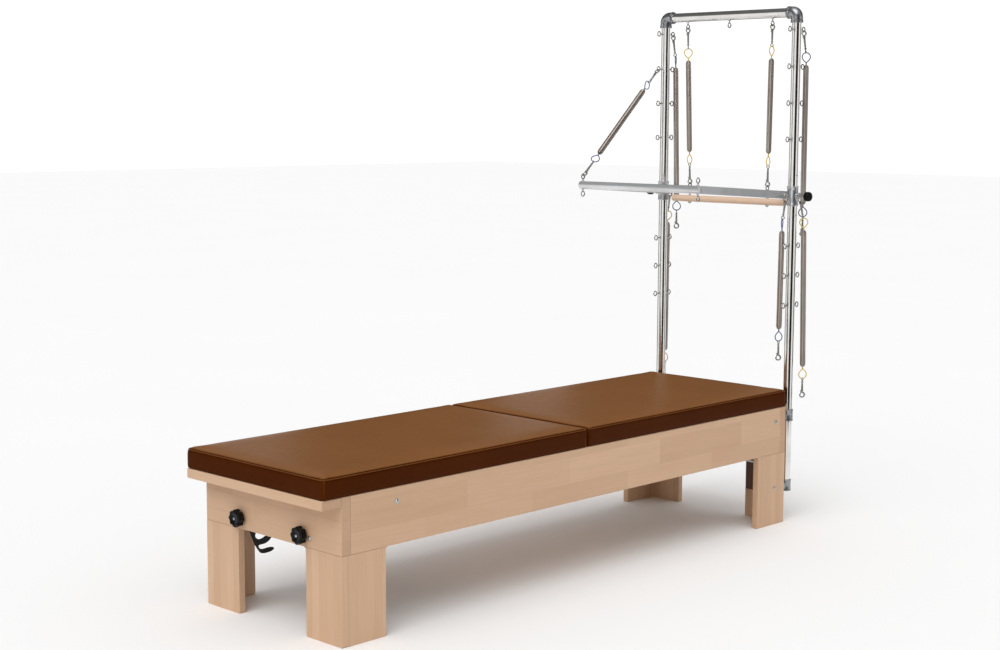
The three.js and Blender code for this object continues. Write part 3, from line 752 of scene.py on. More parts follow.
@dataclass(frozen=True)
class Moulded:
    """Moulded plastic, rubber or paint: one colour with a fine texture and a little scuffing."""

    name: str
    colour: tuple[float, ...]
    roughness: float = 0.4
    grit: float = 1400.0
    depth: float = 0.06
    scuff: float = 0.25
    coat: float = 0.0
    specular: float = 0.25

    def material(self) -> bpy.types.Material:
        """Grit is fine noise in the normal; scuffs are mid-sized noise that lightens and dulls."""
        recipe = Recipe(self.name)
        place = recipe.coordinates.outputs["Object"]
        grit = recipe.noise(place, self.grit, 3.0, 0.6)
        scuffs = recipe.noise(place, 60.0, 6.0, 0.7)
        lighter = tuple(min(1.0, c * 1.5 + 0.02) for c in self.colour[:3]) + (1.0,)
        body = recipe.blend(recipe.between(scuffs, 0.5, 0.85, 0.0, self.scuff * 2), self.colour, lighter)
        gloss = recipe.between(scuffs, 0.3, 0.8, self.roughness - 0.06, self.roughness + 0.12)
        return recipe.dress(
            Base_Color=body, Roughness=gloss, Normal=recipe.relief(grit, self.depth, 0.35),
            Coat_Weight=self.coat, Coat_Roughness=0.2, Specular_IOR_Level=self.specular,
        )


POLISHED_STEEL = (0.86, 0.845, 0.82, 1.0)
FINE_GRAIN = (300.0, 300.0, 300.0)
CAST_GRAIN = (700.0, 700.0, 700.0)


class Finishes:
    """Every finish on the machine, made once."""

    def __init__(self) -> None:
        """Mixes the materials."""
        self.end_board = Timber(
            "maple, end boards", Axis.X, Axis.Z, stave=64.0, length=330.0, shift=0.012
        ).material()
        self.rail = Timber(
            "maple, side rails", Axis.Y, Axis.Z, stave=96.0, length=520.0, shift=0.021
        ).material()
        self.end_leg = Timber(
            "maple, end leg panels", Axis.Z, Axis.X, stave=38.0, length=900.0, shift=0.013
        ).material()
        self.side_leg = Timber(
            "maple, side leg panels", Axis.Z, Axis.Y, stave=36.0, length=900.0, shift=0.004
        ).material()
        self.ledge = Timber("maple, platform", Axis.X, Axis.Y, stave=58.0, length=700.0).material()
        self.bed_wood = Timber("maple, carriage", Axis.Y, Axis.X, stave=70.0, length=600.0).material()
        self.dowel = Timber(
            "birch dowel", Axis.X, Axis.Z, tone(222, 192, 168), tone(206, 172, 145),
            stave=400.0, length=3000.0, contrast=0.35,
        ).material()
        self.block_wood = Timber(
            "stained hardwood", Axis.X, Axis.Z, tone(92, 62, 42), tone(58, 36, 24),
            stave=300.0, length=3000.0, roughness=0.5,
        ).material()
        self.plywood = Layers("plywood").material()
        self.vinyl = Leathercloth("brown upholstery vinyl").material()
        # The welt is a lighter copy of the brown vinyl: a painted highlight along the top seam, with the same
        # painted top light.
        self.welt = Leathercloth(
            "welt vinyl, painted highlight", (
                0.12, 0.036, 0.006, 1.0
            ), (0.15, 0.046, 0.009, 1.0), (0.26, 0.11, 0.04, 1.0), pebble=900.0, roughness=0.33
        ).material()
        self.steel = Metal(
            "polished steel tube", POLISHED_STEEL, 0.1, (60.0, 60.0, 4.0), 0.004, 0.03
        ).material()
        self.cross_steel = Metal(
            "polished steel crossbar", POLISHED_STEEL, 0.1, (4.0, 60.0, 60.0), 0.004, 0.03
        ).material()
        self.nickel = Metal("nickel plate", (0.62, 0.61, 0.58, 1.0), 0.16, FINE_GRAIN, 0.02, 0.06).material()
        self.zinc = Metal(
            "zinc bolt", (0.62, 0.63, 0.64, 1.0), 0.28, (500.0, 500.0, 500.0), 0.03, 0.08
        ).material()
        self.snap = Metal(
            "nickelled snap hook", (0.40, 0.40, 0.37, 1.0), 0.17, FINE_GRAIN, 0.02, 0.06
        ).material()
        self.bright_cast = Metal(
            "turned aluminium", (0.72, 0.73, 0.75, 1.0), 0.3, CAST_GRAIN, 0.04, 0.06, 0.95
        ).material()
        self.cast = Metal(
            "cast aluminium", (0.36, 0.37, 0.385, 1.0), 0.28, CAST_GRAIN, 0.09, 0.08, 0.95
        ).material()
        self.satin = Metal(
            "satin aluminium", (0.84, 0.85, 0.86, 1.0), 0.3, (12.0, 900.0, 900.0), 0.02, 0.05, 0.78
        ).material()
        self.satin_arm = Metal(
            "satin aluminium bar", (0.68, 0.69, 0.7, 1.0), 0.34, (900.0, 12.0, 900.0), 0.02, 0.05, 0.75
        ).material()
        self.coil = Metal(
            "spring wire", (0.47, 0.41, 0.36, 1.0), 0.32, (400.0, 400.0, 400.0),
            0.02, 0.06, 0.95, (0.36, 0.31, 0.27, 1.0),
        ).material()
        self.yellow = Moulded(
            "yellow enamel", tone(210, 178, 58), 0.3, scuff=0.15, coat=0.3, specular=0.5
        ).material()
        self.blue = Moulded(
            "blue enamel", tone(52, 70, 130), 0.3, scuff=0.15, coat=0.3, specular=0.5
        ).material()
        self.violet = Moulded(
            "violet enamel", tone(68, 62, 112), 0.3, scuff=0.15, coat=0.3, specular=0.5
        ).material()
        self.plastic = Moulded("black plastic", tone(9, 9, 10), 0.3, specular=0.16).material()
        self.powder = Moulded("black powder coat", tone(22, 22, 23), 0.4, 2200.0, 0.1).material()
        self.rubber = Moulded("tyre rubber", tone(46, 46, 48), 0.7, 1800.0, 0.1).material()
        self.foam = Moulded("grip foam", tone(34, 34, 36), 0.85, 1500.0, 0.35).material()
        self.nylon = Moulded("white nylon", tone(224, 222, 214), 0.4).material()


# ---------------------------------------------------------------- fastenings
def bolt_head(skin: Skin, place: Point, direction: Array, size: float = 7.2) -> Skin:
    """Adds a domed socket screw on a washer: one turned profile, half as high as it is wide.

    Args:
        skin: Where the bolt goes.
        place: The middle of its seat.
        direction: The way that it faces.
        size: Radius of the head.

    Returns:
        The skin.
    """
    k = size / 7.2
    profile = [
        [0, 3.2], [2.4, 3.2], [2.6, 5.0], [3.4, 5.1], [5.0, 4.5], [6.4, 3.2], [7.2, 1.5],
        [7.2, 1.3], [9.4, 1.3], [9.8, 0.9], [9.8, -0.5], [0, -0.5],
    ]
    return skin.grid(turned(np.array(profile) * k, place, direction, 24))


def nut(skin: Skin, place: Array, direction: Array, width: float, height: float) -> Skin:
    """Adds a six-sided nut whose edges are cut back at both faces."""
    profile = [[0, 0], [width * 0.88, 0], [width, 1], [width, height - 1], [width * 0.88, height], [0, height]]
    return skin.grid(turned(profile, place, direction, 6))


@dataclass(frozen=True)
class EyeBolt:
    """A wire eye on a threaded shank, with a collar where it meets what carries it."""

    ring: float = 10.0
    wire: float = 2.4
    shank: float = 3.4
    collar: float = 6.2

    def add(self, skin: Skin, centre: Array, seat: Array) -> Skin:
        """Adds the eye, standing in the YZ plane, and its shank down to a seat.

        Args:
            skin: Where it goes.
            centre: Middle of the eye.
            seat: Where the shank meets the surface.

        Returns:
            The skin.
        """
        centre, seat = np.array(centre, float), np.array(seat, float)
        direction = unit(centre - seat)
        skin.grid(hoop(centre, Axis.X.value, self.ring, self.wire, 32, 10), closed=True)
        top = centre - direction * self.ring
        skin.grid(rod([seat - direction * 2, top], self.shank * 0.8, Axis.X.value, 12))
        neck = [[0, 0], [self.shank * 0.8, 0], [self.wire * 1.3, 5], [self.wire * 0.9, 9], [0, 9]]
        skin.grid(turned(neck, top - direction * 6, direction, 16))
        collar = [[0, -1], [self.collar, -1], [self.collar, 1.6], [self.collar - 0.8, 2.4], [0, 2.4]]
        skin.grid(turned(collar, seat, direction, 6))
        return skin


# ---------------------------------------------------------------- wooden frame
@dataclass
class WoodenFrame:
    """The box of end boards and rails, its foot platform and its eight leg panels."""

    finishes: Finishes
    half_width: float = 360.0
    length: float = 2427.0
    top: float = 493.0
    bottom: float = 300.0
    board: float = 38.0
    rail: float = 35.0
    gap: float = 0.3
    ledge_reach: float = 82.0
    ledge_depth: float = 33.0
    ledge_corner: float = 8.0
    leg_width: float = 180.0
    leg_depth: float = 187.0
    leg_panel: float = 24.0
    leg_fillet: float = 10.0
    leg_corner: float = 5.0
    ease: float = 1.6

    def build(self) -> None:
        """Builds every wooden piece of the frame and its bolts."""
        self.boards()
        self.rails()
        self.platform()
        self.legs()
        self.bolts()

    def boards(self) -> None:
        """Two end boards: rectangles carried along Y, their edges eased."""
        for end, start in (("foot", 0.0), ("head", self.length - self.board)):
            corners = [
                [-self.half_width, self.bottom], [self.half_width, self.bottom],
                [self.half_width, self.top], [-self.half_width, self.top],
            ]
            piece = Skin().slab(corners, start, start + self.board, Axis.Y).mesh(f"{end}_board")
            soften(piece, self.ease)
            finished(piece, "frame", self.finishes.end_board, (f"{end}_end_board",))

    def rails(self) -> None:
        """Two side rails between the end boards."""
        for name, side in SIDES.items():
            outer, inner = side * self.half_width, side * (self.half_width - self.rail)
            low = [min(outer, inner), self.board + self.gap, self.bottom]
            high = [max(outer, inner), self.length - self.board - self.gap, self.top]
            piece = Skin().block(low, high).mesh(f"rail_{name}")
            soften(piece, self.ease)
            finished(piece, "frame", self.finishes.rail, (f"side_rail_{name}",))

    def platform(self) -> None:
        """The standing ledge in front of the foot board, with round front corners and soft edges."""
        outer = rounded_outline(
            [-self.half_width, -self.ledge_reach], [self.half_width, 60.0], self.ledge_corner
        )
        outline = np.vstack(
            [[self.half_width, -self.gap], [-self.half_width, -self.gap], outer[outer[:, 1] < -self.gap]]
        )
        piece = Skin().slab(outline, self.top - self.ledge_depth, self.top, Axis.Z).mesh("platform_ledge")
        soften(piece, 3.0, 4)
        finished(piece, "frame", self.finishes.ledge, ("foot_platform",))

    def leg_outline(self, width: float) -> Array:
        """A leg panel's outline: quarter circles at the floor, and a concave one under the board.

        Args:
            width: From the outer edge at 0 to the inner edge.

        Returns:
            Rows of distance from the outer edge and height.
        """
        height, corner, fillet = self.bottom - self.gap, self.leg_corner, self.leg_fillet
        x, z = np.array([1.0, 0.0]), np.array([0.0, 1.0])
        foot_out = arc([corner, corner], x, z, corner, 180, 270, 6)
        foot_in = arc([width - corner, corner], x, z, corner, 270, 360, 6)
        under = arc([width + fillet, height - fillet], x, z, fillet, 180, 90, 8)
        return np.vstack([foot_out, foot_in, under, [[0.0, height]]])

    def legs(self) -> None:
        """Eight panels: at each corner one across the end and one along the side behind it."""
        side_depth = self.leg_depth - self.leg_panel - self.gap
        for end in ("foot", "head"):
            inward = 1 if end == "foot" else -1
            face = 0.0 if end == "foot" else self.length
            for name, side in SIDES.items():
                outline = self.leg_outline(self.leg_width) * [-side, 1] + [side * self.half_width, 0]
                levels = sorted((face, face + inward * self.leg_panel))
                piece = Skin().slab(outline, *levels, Axis.Y).mesh(f"{end}_leg_{name}_end_panel")
                soften(piece, self.ease)
                finished(piece, "frame", self.finishes.end_leg, (f"leg_{end}_{name}_end",))
                start = face + inward * (self.leg_panel + self.gap)
                outline = self.leg_outline(side_depth) * [inward, 1] + [start, 0]
                levels = sorted((side * self.half_width, side * (self.half_width - self.leg_panel)))
                piece = Skin().slab(outline, *levels, Axis.X).mesh(f"{end}_leg_{name}_side_panel")
                soften(piece, self.ease)
                finished(piece, "frame", self.finishes.side_leg, (f"leg_{end}_{name}_side",))

    def bolts(self) -> None:
        """Domed bolts in the rails, the legs and the foot board."""
        skin = Skin()
        for side in SIDES.values():
            out = [side, 0, 0]
            for y, z in ((236.0, 444.0), (2358.0, 434.0), (2358.0, 156.0)):
                bolt_head(skin, (side * self.half_width, y, z), out)
            bolt_head(skin, (side * 201.0, 0.0, 333.0), [0, -1, 0], 6.4)
        finished(skin.mesh("frame_bolts"), "frame", self.finishes.zinc)


# ---------------------------------------------------------------- upholstery
@dataclass
class Cushion:
    """A stuffed pad under vinyl: a crowned closed form that cloth pressure swells."""

    name: str
    low: Point
    high: Point
    corner: float = 15.0
    shoulder: float = 11.0
    crown: float = 2.5
    voxel: float = 9.0
    cap: float = 4.5
    pressure: float = 4.0
    frames: int = 20
    seam_drop: float = 13.5

    def outline(self, steps: int = 8) -> Array:
        """The rounded rectangle round the pad's sides."""
        return rounded_outline(self.low[:2], self.high[:2], self.corner, steps)

    def form(self) -> bpy.types.Object:
        """The unswollen form: row i is the outline shrunk about its middle by k_i at height z_i.

        Returns:
            The piece.
        """
        bottom, top = self.low[2], self.high[2]
        half = min(self.high[0] - self.low[0], self.high[1] - self.low[1]) / 2
        turn = np.radians(np.linspace(0, 90, 7))
        side = [(0.0, bottom), (1 - 5 / half, bottom), (1 - 1.5 / half, bottom + 0.6), (1.0, bottom + 4)]
        round_over = self.shoulder
        rim = [(1 - round_over * (1 - math.cos(a)) / half, top - round_over * (1 - math.sin(a))) for a in turn]
        shares = np.array([0.9, 0.75, 0.5, 0.25, 0.0])
        lid = [(float(k), top + self.crown * (1 - float(k) ** 2)) for k in shares]
        rows = np.array([*side, *rim, *lid])
        outline = self.outline()
        middle = (np.array(self.low[:2]) + np.array(self.high[:2])) / 2
        ring = middle + rows[:, 0, None, None] * (outline - middle)
        heights = np.broadcast_to(rows[:, 1, None, None], (*ring.shape[:2], 1))
        return Skin().grid(np.concatenate([ring, heights], axis=-1)).mesh(self.name)

    def swell(self, piece: bpy.types.Object) -> None:
        """Blows the form up as cloth: voxel mesh, pressure with no gravity, moves held under the cap.

        Args:
            piece: The form, whose mesh is replaced by the swollen one.
        """
        remesh = piece.modifiers.new("voxels", "REMESH")
        remesh.mode, remesh.voxel_size = "VOXEL", self.voxel * MM
        self.apply(piece)
        count = len(piece.data.vertices)
        rest = np.empty(count * 3, np.float32)
        piece.data.vertices.foreach_get("co", rest)
        rest = rest.reshape(-1, 3)
        seat = piece.vertex_groups.new(name="seat")
        seat.add(np.flatnonzero(rest[:, 2] < (self.low[2] + 2.0) * MM).tolist(), 1.0, "REPLACE")
        cloth = piece.modifiers.new("cloth", "CLOTH")
        cloth.settings.quality = 3
        cloth.settings.mass = 0.3
        cloth.settings.use_pressure = True
        cloth.settings.uniform_pressure_force = self.pressure
        cloth.settings.effector_weights.gravity = 0.0
        cloth.settings.vertex_group_mass = "seat"
        cloth.collision_settings.use_collision = False
        cloth.point_cache.frame_start, cloth.point_cache.frame_end = 1, self.frames
        for step in range(1, self.frames + 1):
            bpy.context.scene.frame_set(step)
        swollen = np.empty(count * 3, np.float32)
        view = piece.evaluated_get(bpy.context.evaluated_depsgraph_get())
        view.data.vertices.foreach_get("co", swollen)
        piece.modifiers.clear()
        bpy.context.scene.frame_set(1)
        move = swollen.reshape(-1, 3) - rest
        size = np.linalg.norm(move, axis=1, keepdims=True)
        move *= np.minimum(1.0, self.cap * MM / np.maximum(size, 1e-9))
        piece.data.vertices.foreach_set("co", (rest + move).ravel())
        piece.vertex_groups.clear()
        smooth = piece.modifiers.new("rested", "SMOOTH")
        smooth.factor, smooth.iterations = 0.5, 3
        finer = piece.modifiers.new("finer", "SUBSURF")
        finer.levels = finer.render_levels = 1
        self.apply(piece)

    def apply(self, piece: bpy.types.Object) -> None:
        """Puts a piece's modifiers into its mesh."""
        view = piece.evaluated_get(bpy.context.evaluated_depsgraph_get())
        made = bpy.data.meshes.new_from_object(view)
        piece.modifiers.clear()
        old, piece.data = piece.data, made
        bpy.data.meshes.remove(old)
        made.name = piece.name

    def fitted(self, piece: bpy.types.Object) -> None:
        """Stretches the swollen cover to its full box: p = low + (p - least) * (high - low) / (most - least).

        Args:
            piece: The swollen cover.
        """
        points = self.points(piece)
        least, most = points.min(axis=0), points.max(axis=0)
        low, high = np.array(self.low), np.array(self.high)
        self.place(piece, low + (points - least) * (high - low) / (most - least))

    def place(self, piece: bpy.types.Object, points: Array) -> None:
        """Puts a piece's vertices at points given in machine millimetres."""
        row = points * MM + [0.0, FRONT_Y, 0.0]
        piece.data.vertices.foreach_set("co", row.astype(np.float32).ravel())
        piece.data.update()

    def pinched(self, piece: bpy.types.Object) -> None:
        """Draws the cover in along the top seam: points move inwards by 1.1 * exp(-(height / 3)^2).

        Args:
            piece: The swollen cover.
        """
        points = self.points(piece)
        middle = (np.array(self.low[:2]) + np.array(self.high[:2])) / 2
        reach = (np.array(self.high[:2]) - np.array(self.low[:2])) / 2
        offset = points[:, :2] - middle
        rim = np.max(np.abs(offset) / reach, axis=1) > 0.97
        height = points[:, 2] - (self.high[2] - self.seam_drop)
        depth = 1.1 * np.exp(-((height / 3.0) ** 2)) * rim
        inward = np.where(np.abs(offset) > reach - self.corner, -np.sign(offset), 0.0)
        points[:, :2] += inward * depth[:, None]
        self.place(piece, points)

    def points(self, piece: bpy.types.Object) -> Array:
        """A piece's vertices in machine millimetres."""
        flat = np.empty(len(piece.data.vertices) * 3, np.float32)
        piece.data.vertices.foreach_get("co", flat)
        return (flat.reshape(-1, 3).astype(float) - [0.0, FRONT_Y, 0.0]) / MM

    def welt(self, piece: bpy.types.Object, name: str, wire: float = 1.7) -> bpy.types.Object:
        """The corded seam: a round bead that follows the cover's own surface, with one down each corner.

        Each point of the outline moves to the nearest point of the cover, and the line is then
        averaged with its neighbours.

        Args:
            piece: The cover.
            name: The bead's name.
            wire: Radius of the bead.

        Returns:
            The bead.
        """
        surface = self.points(piece)
        corners = self.outline(7)
        following = np.roll(corners, -1, axis=0)
        count = 160
        steps = np.concatenate([[0.0], np.cumsum(np.linalg.norm(following - corners, axis=1))])
        where = np.linspace(0, steps[-1], count, endpoint=False)
        loop = np.vstack([corners, corners[:1]])
        line = np.stack([np.interp(where, steps, loop[:, 0]), np.interp(where, steps, loop[:, 1])], axis=-1)
        level = self.high[2] - self.seam_drop
        band = surface[np.abs(surface[:, 2] - level) < self.voxel]
        gaps = np.linalg.norm(line[:, None] - band[None, :, :2], axis=-1)
        held = band[np.argmin(gaps, axis=1), :2]
        centre = (np.array(self.low[:2]) + np.array(self.high[:2])) / 2
        outward = unit(
            line - np.clip(line, np.array(self.low[:2]) + self.corner, np.array(self.high[:2]) - self.corner)
        )
        reach = np.sum((held - line) * outward, axis=1)
        kernel = np.array([1, 4, 6, 4, 1]) / 16.0
        reach = np.convolve(np.concatenate([reach[-2:], reach, reach[:2]]), kernel, "valid")
        bead = line + outward * (reach + wire * 0.2)[:, None]
        path = np.concatenate([bead, np.full((count, 1), level)], axis=-1)
        ring = circle(wire, 8)
        tangent = unit(np.roll(path, -1, axis=0) - np.roll(path, 1, axis=0))
        first = unit(np.cross(tangent, [0.0, 0.0, 1.0]))
        rise = ring[None, :, 1:] * np.array([0.0, 0.0, 1.0])
        tube = path[:, None] + ring[None, :, :1] * first[:, None] + rise
        skin = Skin().grid(tube, closed=True)
        diagonal = np.abs(outward[:, 0] * outward[:, 1])
        quarter = ((bead[:, 0] > centre[0]).astype(int) + 2 * (bead[:, 1] > centre[1]))
        for corner in range(4):
            best = np.argmax(np.where(quarter == corner, diagonal, -1.0))
            drop = np.linspace(level, self.low[2] + 3.0, 8)
            swell = 0.4 * np.sin(np.linspace(0, np.pi, 8))
            seam = np.column_stack([bead[best] - outward[best] * 0.9 + outward[best] * swell[:, None], drop])
            skin.grid(rod(seam, wire * 0.6, [*(-outward[best][::-1] * [1, -1]), 0.0], 8))
        return skin.mesh(name)

    def build(self) -> bpy.types.Object:
        """The finished cover, without its material."""
        piece = self.form()
        self.swell(piece)
        self.fitted(piece)
        self.pinched(piece)
        return piece


@dataclass
class Mats:
    """Two padded mats that lie over the frame, each on a plywood base; the carriage's own pad is built with the
    bed.
    """

    finishes: Finishes
    half_width: float = 360.0
    edge_gap: float = 0.8
    overhang: float = 5.0
    foot_reach: float = 4.0
    base_inset: float = 14.0
    base_low: float = 493.4
    base_high: float = 496.5
    top: float = 573.0

    def build(self) -> None:
        """Builds the foot mat and the head mat."""
        for end in ("foot", "head"):
            low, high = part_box(f"mat_pad_{end}")
            start, finish = (low.y - FRONT_Y) / MM, (high.y - FRONT_Y) / MM
            self.mat(end, start, finish)

    def mat(self, end: str, start: float, finish: float) -> None:
        """One mat: cover, welt and base.

        Args:
            end: "foot" or "head".
            start: Its edge nearest the foot end.
            finish: Its edge nearest the tower.
        """
        half = self.half_width + self.overhang
        outer = self.foot_reach if end == "foot" else 0.0
        cushion = Cushion(
            f"mat_{end}_cover",
            (-half, start + self.edge_gap - outer, self.base_low + 0.6),
            (half, finish - self.edge_gap, self.top - 0.6),
        )
        cover = cushion.build()
        finished(cover, "frame", self.finishes.vinyl, (f"mat_pad_{end}",), 60.0)
        welt = cushion.welt(cover, f"mat_{end}_welt")
        finished(welt, "frame", self.finishes.welt, (), 80.0)
        inset = self.base_inset
        outline = rounded_outline(
            [-self.half_width + inset, start + inset], [self.half_width - inset, finish - inset], 18.0
        )
        base = Skin().slab(outline, self.base_low, self.base_high, Axis.Z).mesh(f"mat_{end}_base")
        soften(base, 0.8, 2)
        finished(base, "frame", self.finishes.plywood)


# ---------------------------------------------------------------- moving bed under the mats
@dataclass
class Bed:
    """What the mats cover: tracks, spring bar, carriage with pad and wheels, footbar; the gear springs are
    built with the other springs.
    """

    finishes: Finishes
    start: float = 740.0
    length: float = 860.0
    top: float = 424.0
    wheel_radius: float = 21.7
    wheel_width: float = 17.0
    bore: float = 5.3
    bar_y: float = 236.0
    bar_z: float = 444.0
    bar_reach: float = 440.0
    bar_half: float = 285.0
    bar_bend: float = 60.0
    bar_radius: float = 12.7
    grip_half: float = 205.0
    grip_radius: float = 15.5
    rail_inside: float = 324.7
    bar_tail: float = 18.0
    bar_straight: float = 200.0
    pivot_radius: float = 9.8
    pad_half: float = 306.0
    pad_inset: float = 6.0
    pad_height: float = 38.0
    wheel_hub: float = 14.5

    def build(self) -> None:
        """Builds and dresses the bed."""
        self.dress_nodes()
        self.carriage_pad()
        self.wheels()
        self.footbar()

    def dress_nodes(self) -> None:
        """Gives the carried-over tracks, spring bar and carriage their finishes."""
        chosen = {
            "track_left": self.finishes.satin_arm,
            "track_right": self.finishes.satin_arm,
            "spring_bar": self.finishes.powder,
            "carriage": self.finishes.bed_wood,
        }
        for name, finish in chosen.items():
            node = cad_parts[name]
            node.data.materials.clear()
            node.data.materials.append(finish)

    def carriage_pad(self) -> None:
        """The upholstered deck that a person lies on when the mats are off."""
        cushion = Cushion(
            "carriage_pad",
            (-self.pad_half, self.start + self.pad_inset, self.top + 0.4),
            (self.pad_half, self.start + self.length - self.pad_inset, self.top + self.pad_height),
            voxel=12.0,
            cap=4.0,
        )
        pad = cushion.build()
        finished(pad, "carriage", self.finishes.vinyl, (), 60.0)

    def wheels(self) -> None:
        """Four rollers: a rubber tyre with a crowned tread round a nylon hub with a bearing."""
        for name in ("left_foot", "left_head", "right_foot", "right_head"):
            low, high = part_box(f"carriage_wheel_{name}")
            centre = (np.array(low) + np.array(high)) / 2 / MM - [0.0, FRONT_Y / MM, 0.0]
            start = centre - [self.wheel_width / 2, 0.0, 0.0]
            wide, rim, hub = self.wheel_width, self.wheel_radius, self.wheel_hub
            tread = [
                [hub, 0.6], [rim - 2, 0.0], [rim - 0.5, 2.0], [rim, wide / 2], [rim - 0.5, wide - 2],
                [rim - 2, wide], [hub, wide - 0.6],
            ]
            tyre = Skin().grid(turned(tread, start, [1, 0, 0], 48), closed=True).mesh(f"wheel_{name}_tyre")
            body = f"carriage_wheel_{name}"
            finished(tyre, body, self.finishes.rubber, (body,), 40.0)
            core = [
                [self.bore, 0.4], [8.0, 0.4], [8.4, 1.8], [12.5, 1.8], [13.0, 0.9], [hub + 0.2, 0.9],
                [hub + 0.2, wide - 0.9], [13.0, wide - 0.9], [12.5, wide - 1.8],
                [8.4, wide - 1.8], [8.0, wide - 0.4], [self.bore, wide - 0.4],
            ]
            centre_piece = Skin().grid(
                turned(core, start, [1, 0, 0], 40), closed=True
            ).mesh(f"wheel_{name}_hub")
            finished(centre_piece, body, self.finishes.nylon)

    def footbar(self) -> None:
        """The folded footbar: a tube along two straight sides and two curved corners, with a foam grip."""
        far, half, bend = self.bar_y + self.bar_reach, self.bar_half, self.bar_bend
        share = np.linspace(0, 1, 14)[:, None]

        def corner(a: Array, b: Array, c: Array) -> Array:
            """A bend from a to c round b: (1 - t)^2 a + 2 t (1 - t) b + t^2 c."""
            return (1 - share) ** 2 * a + 2 * share * (1 - share) * b + share**2 * c

        def place(x: float, y: float) -> Array:
            """A point at the bar's height."""
            return np.array([x, y, self.bar_z])

        left = corner(place(-half, far - bend), place(-half, far), place(-half + bend, far))
        right = corner(place(half - bend, far), place(half, far), place(half, far - bend))
        tail, straight = self.bar_y - self.bar_tail, self.bar_y + self.bar_straight
        start = [place(-half, tail), place(-half, straight)]
        path = np.vstack([*start, left, right, place(half, straight), place(half, tail)])
        skin = Skin().grid(rod(path, self.bar_radius, Axis.Z.value, 28, 1.5))
        for side in SIDES.values():
            stub = [place(side * (half - 4), self.bar_y), place(side * self.rail_inside, self.bar_y)]
            skin.grid(rod(stub, self.pivot_radius, Axis.Z.value, 20))
        tube = skin.mesh("footbar_tube")
        finished(tube, "footbar", self.finishes.powder, ("footbar",), 40.0)
        wide = self.grip_half
        profile = np.vstack([
            [[self.bar_radius - 1, -wide], [self.grip_radius - 1.5, -wide], [self.grip_radius, -wide + 2]],
            [[self.grip_radius, 0.0]],
            [[self.grip_radius, wide - 2], [self.grip_radius - 1.5, wide], [self.bar_radius - 1, wide]],
        ])
        grip = Skin().grid(turned(profile, place(0, far), [1, 0, 0], 32), closed=True).mesh("footbar_grip")
        finished(grip, "footbar", self.finishes.foam)


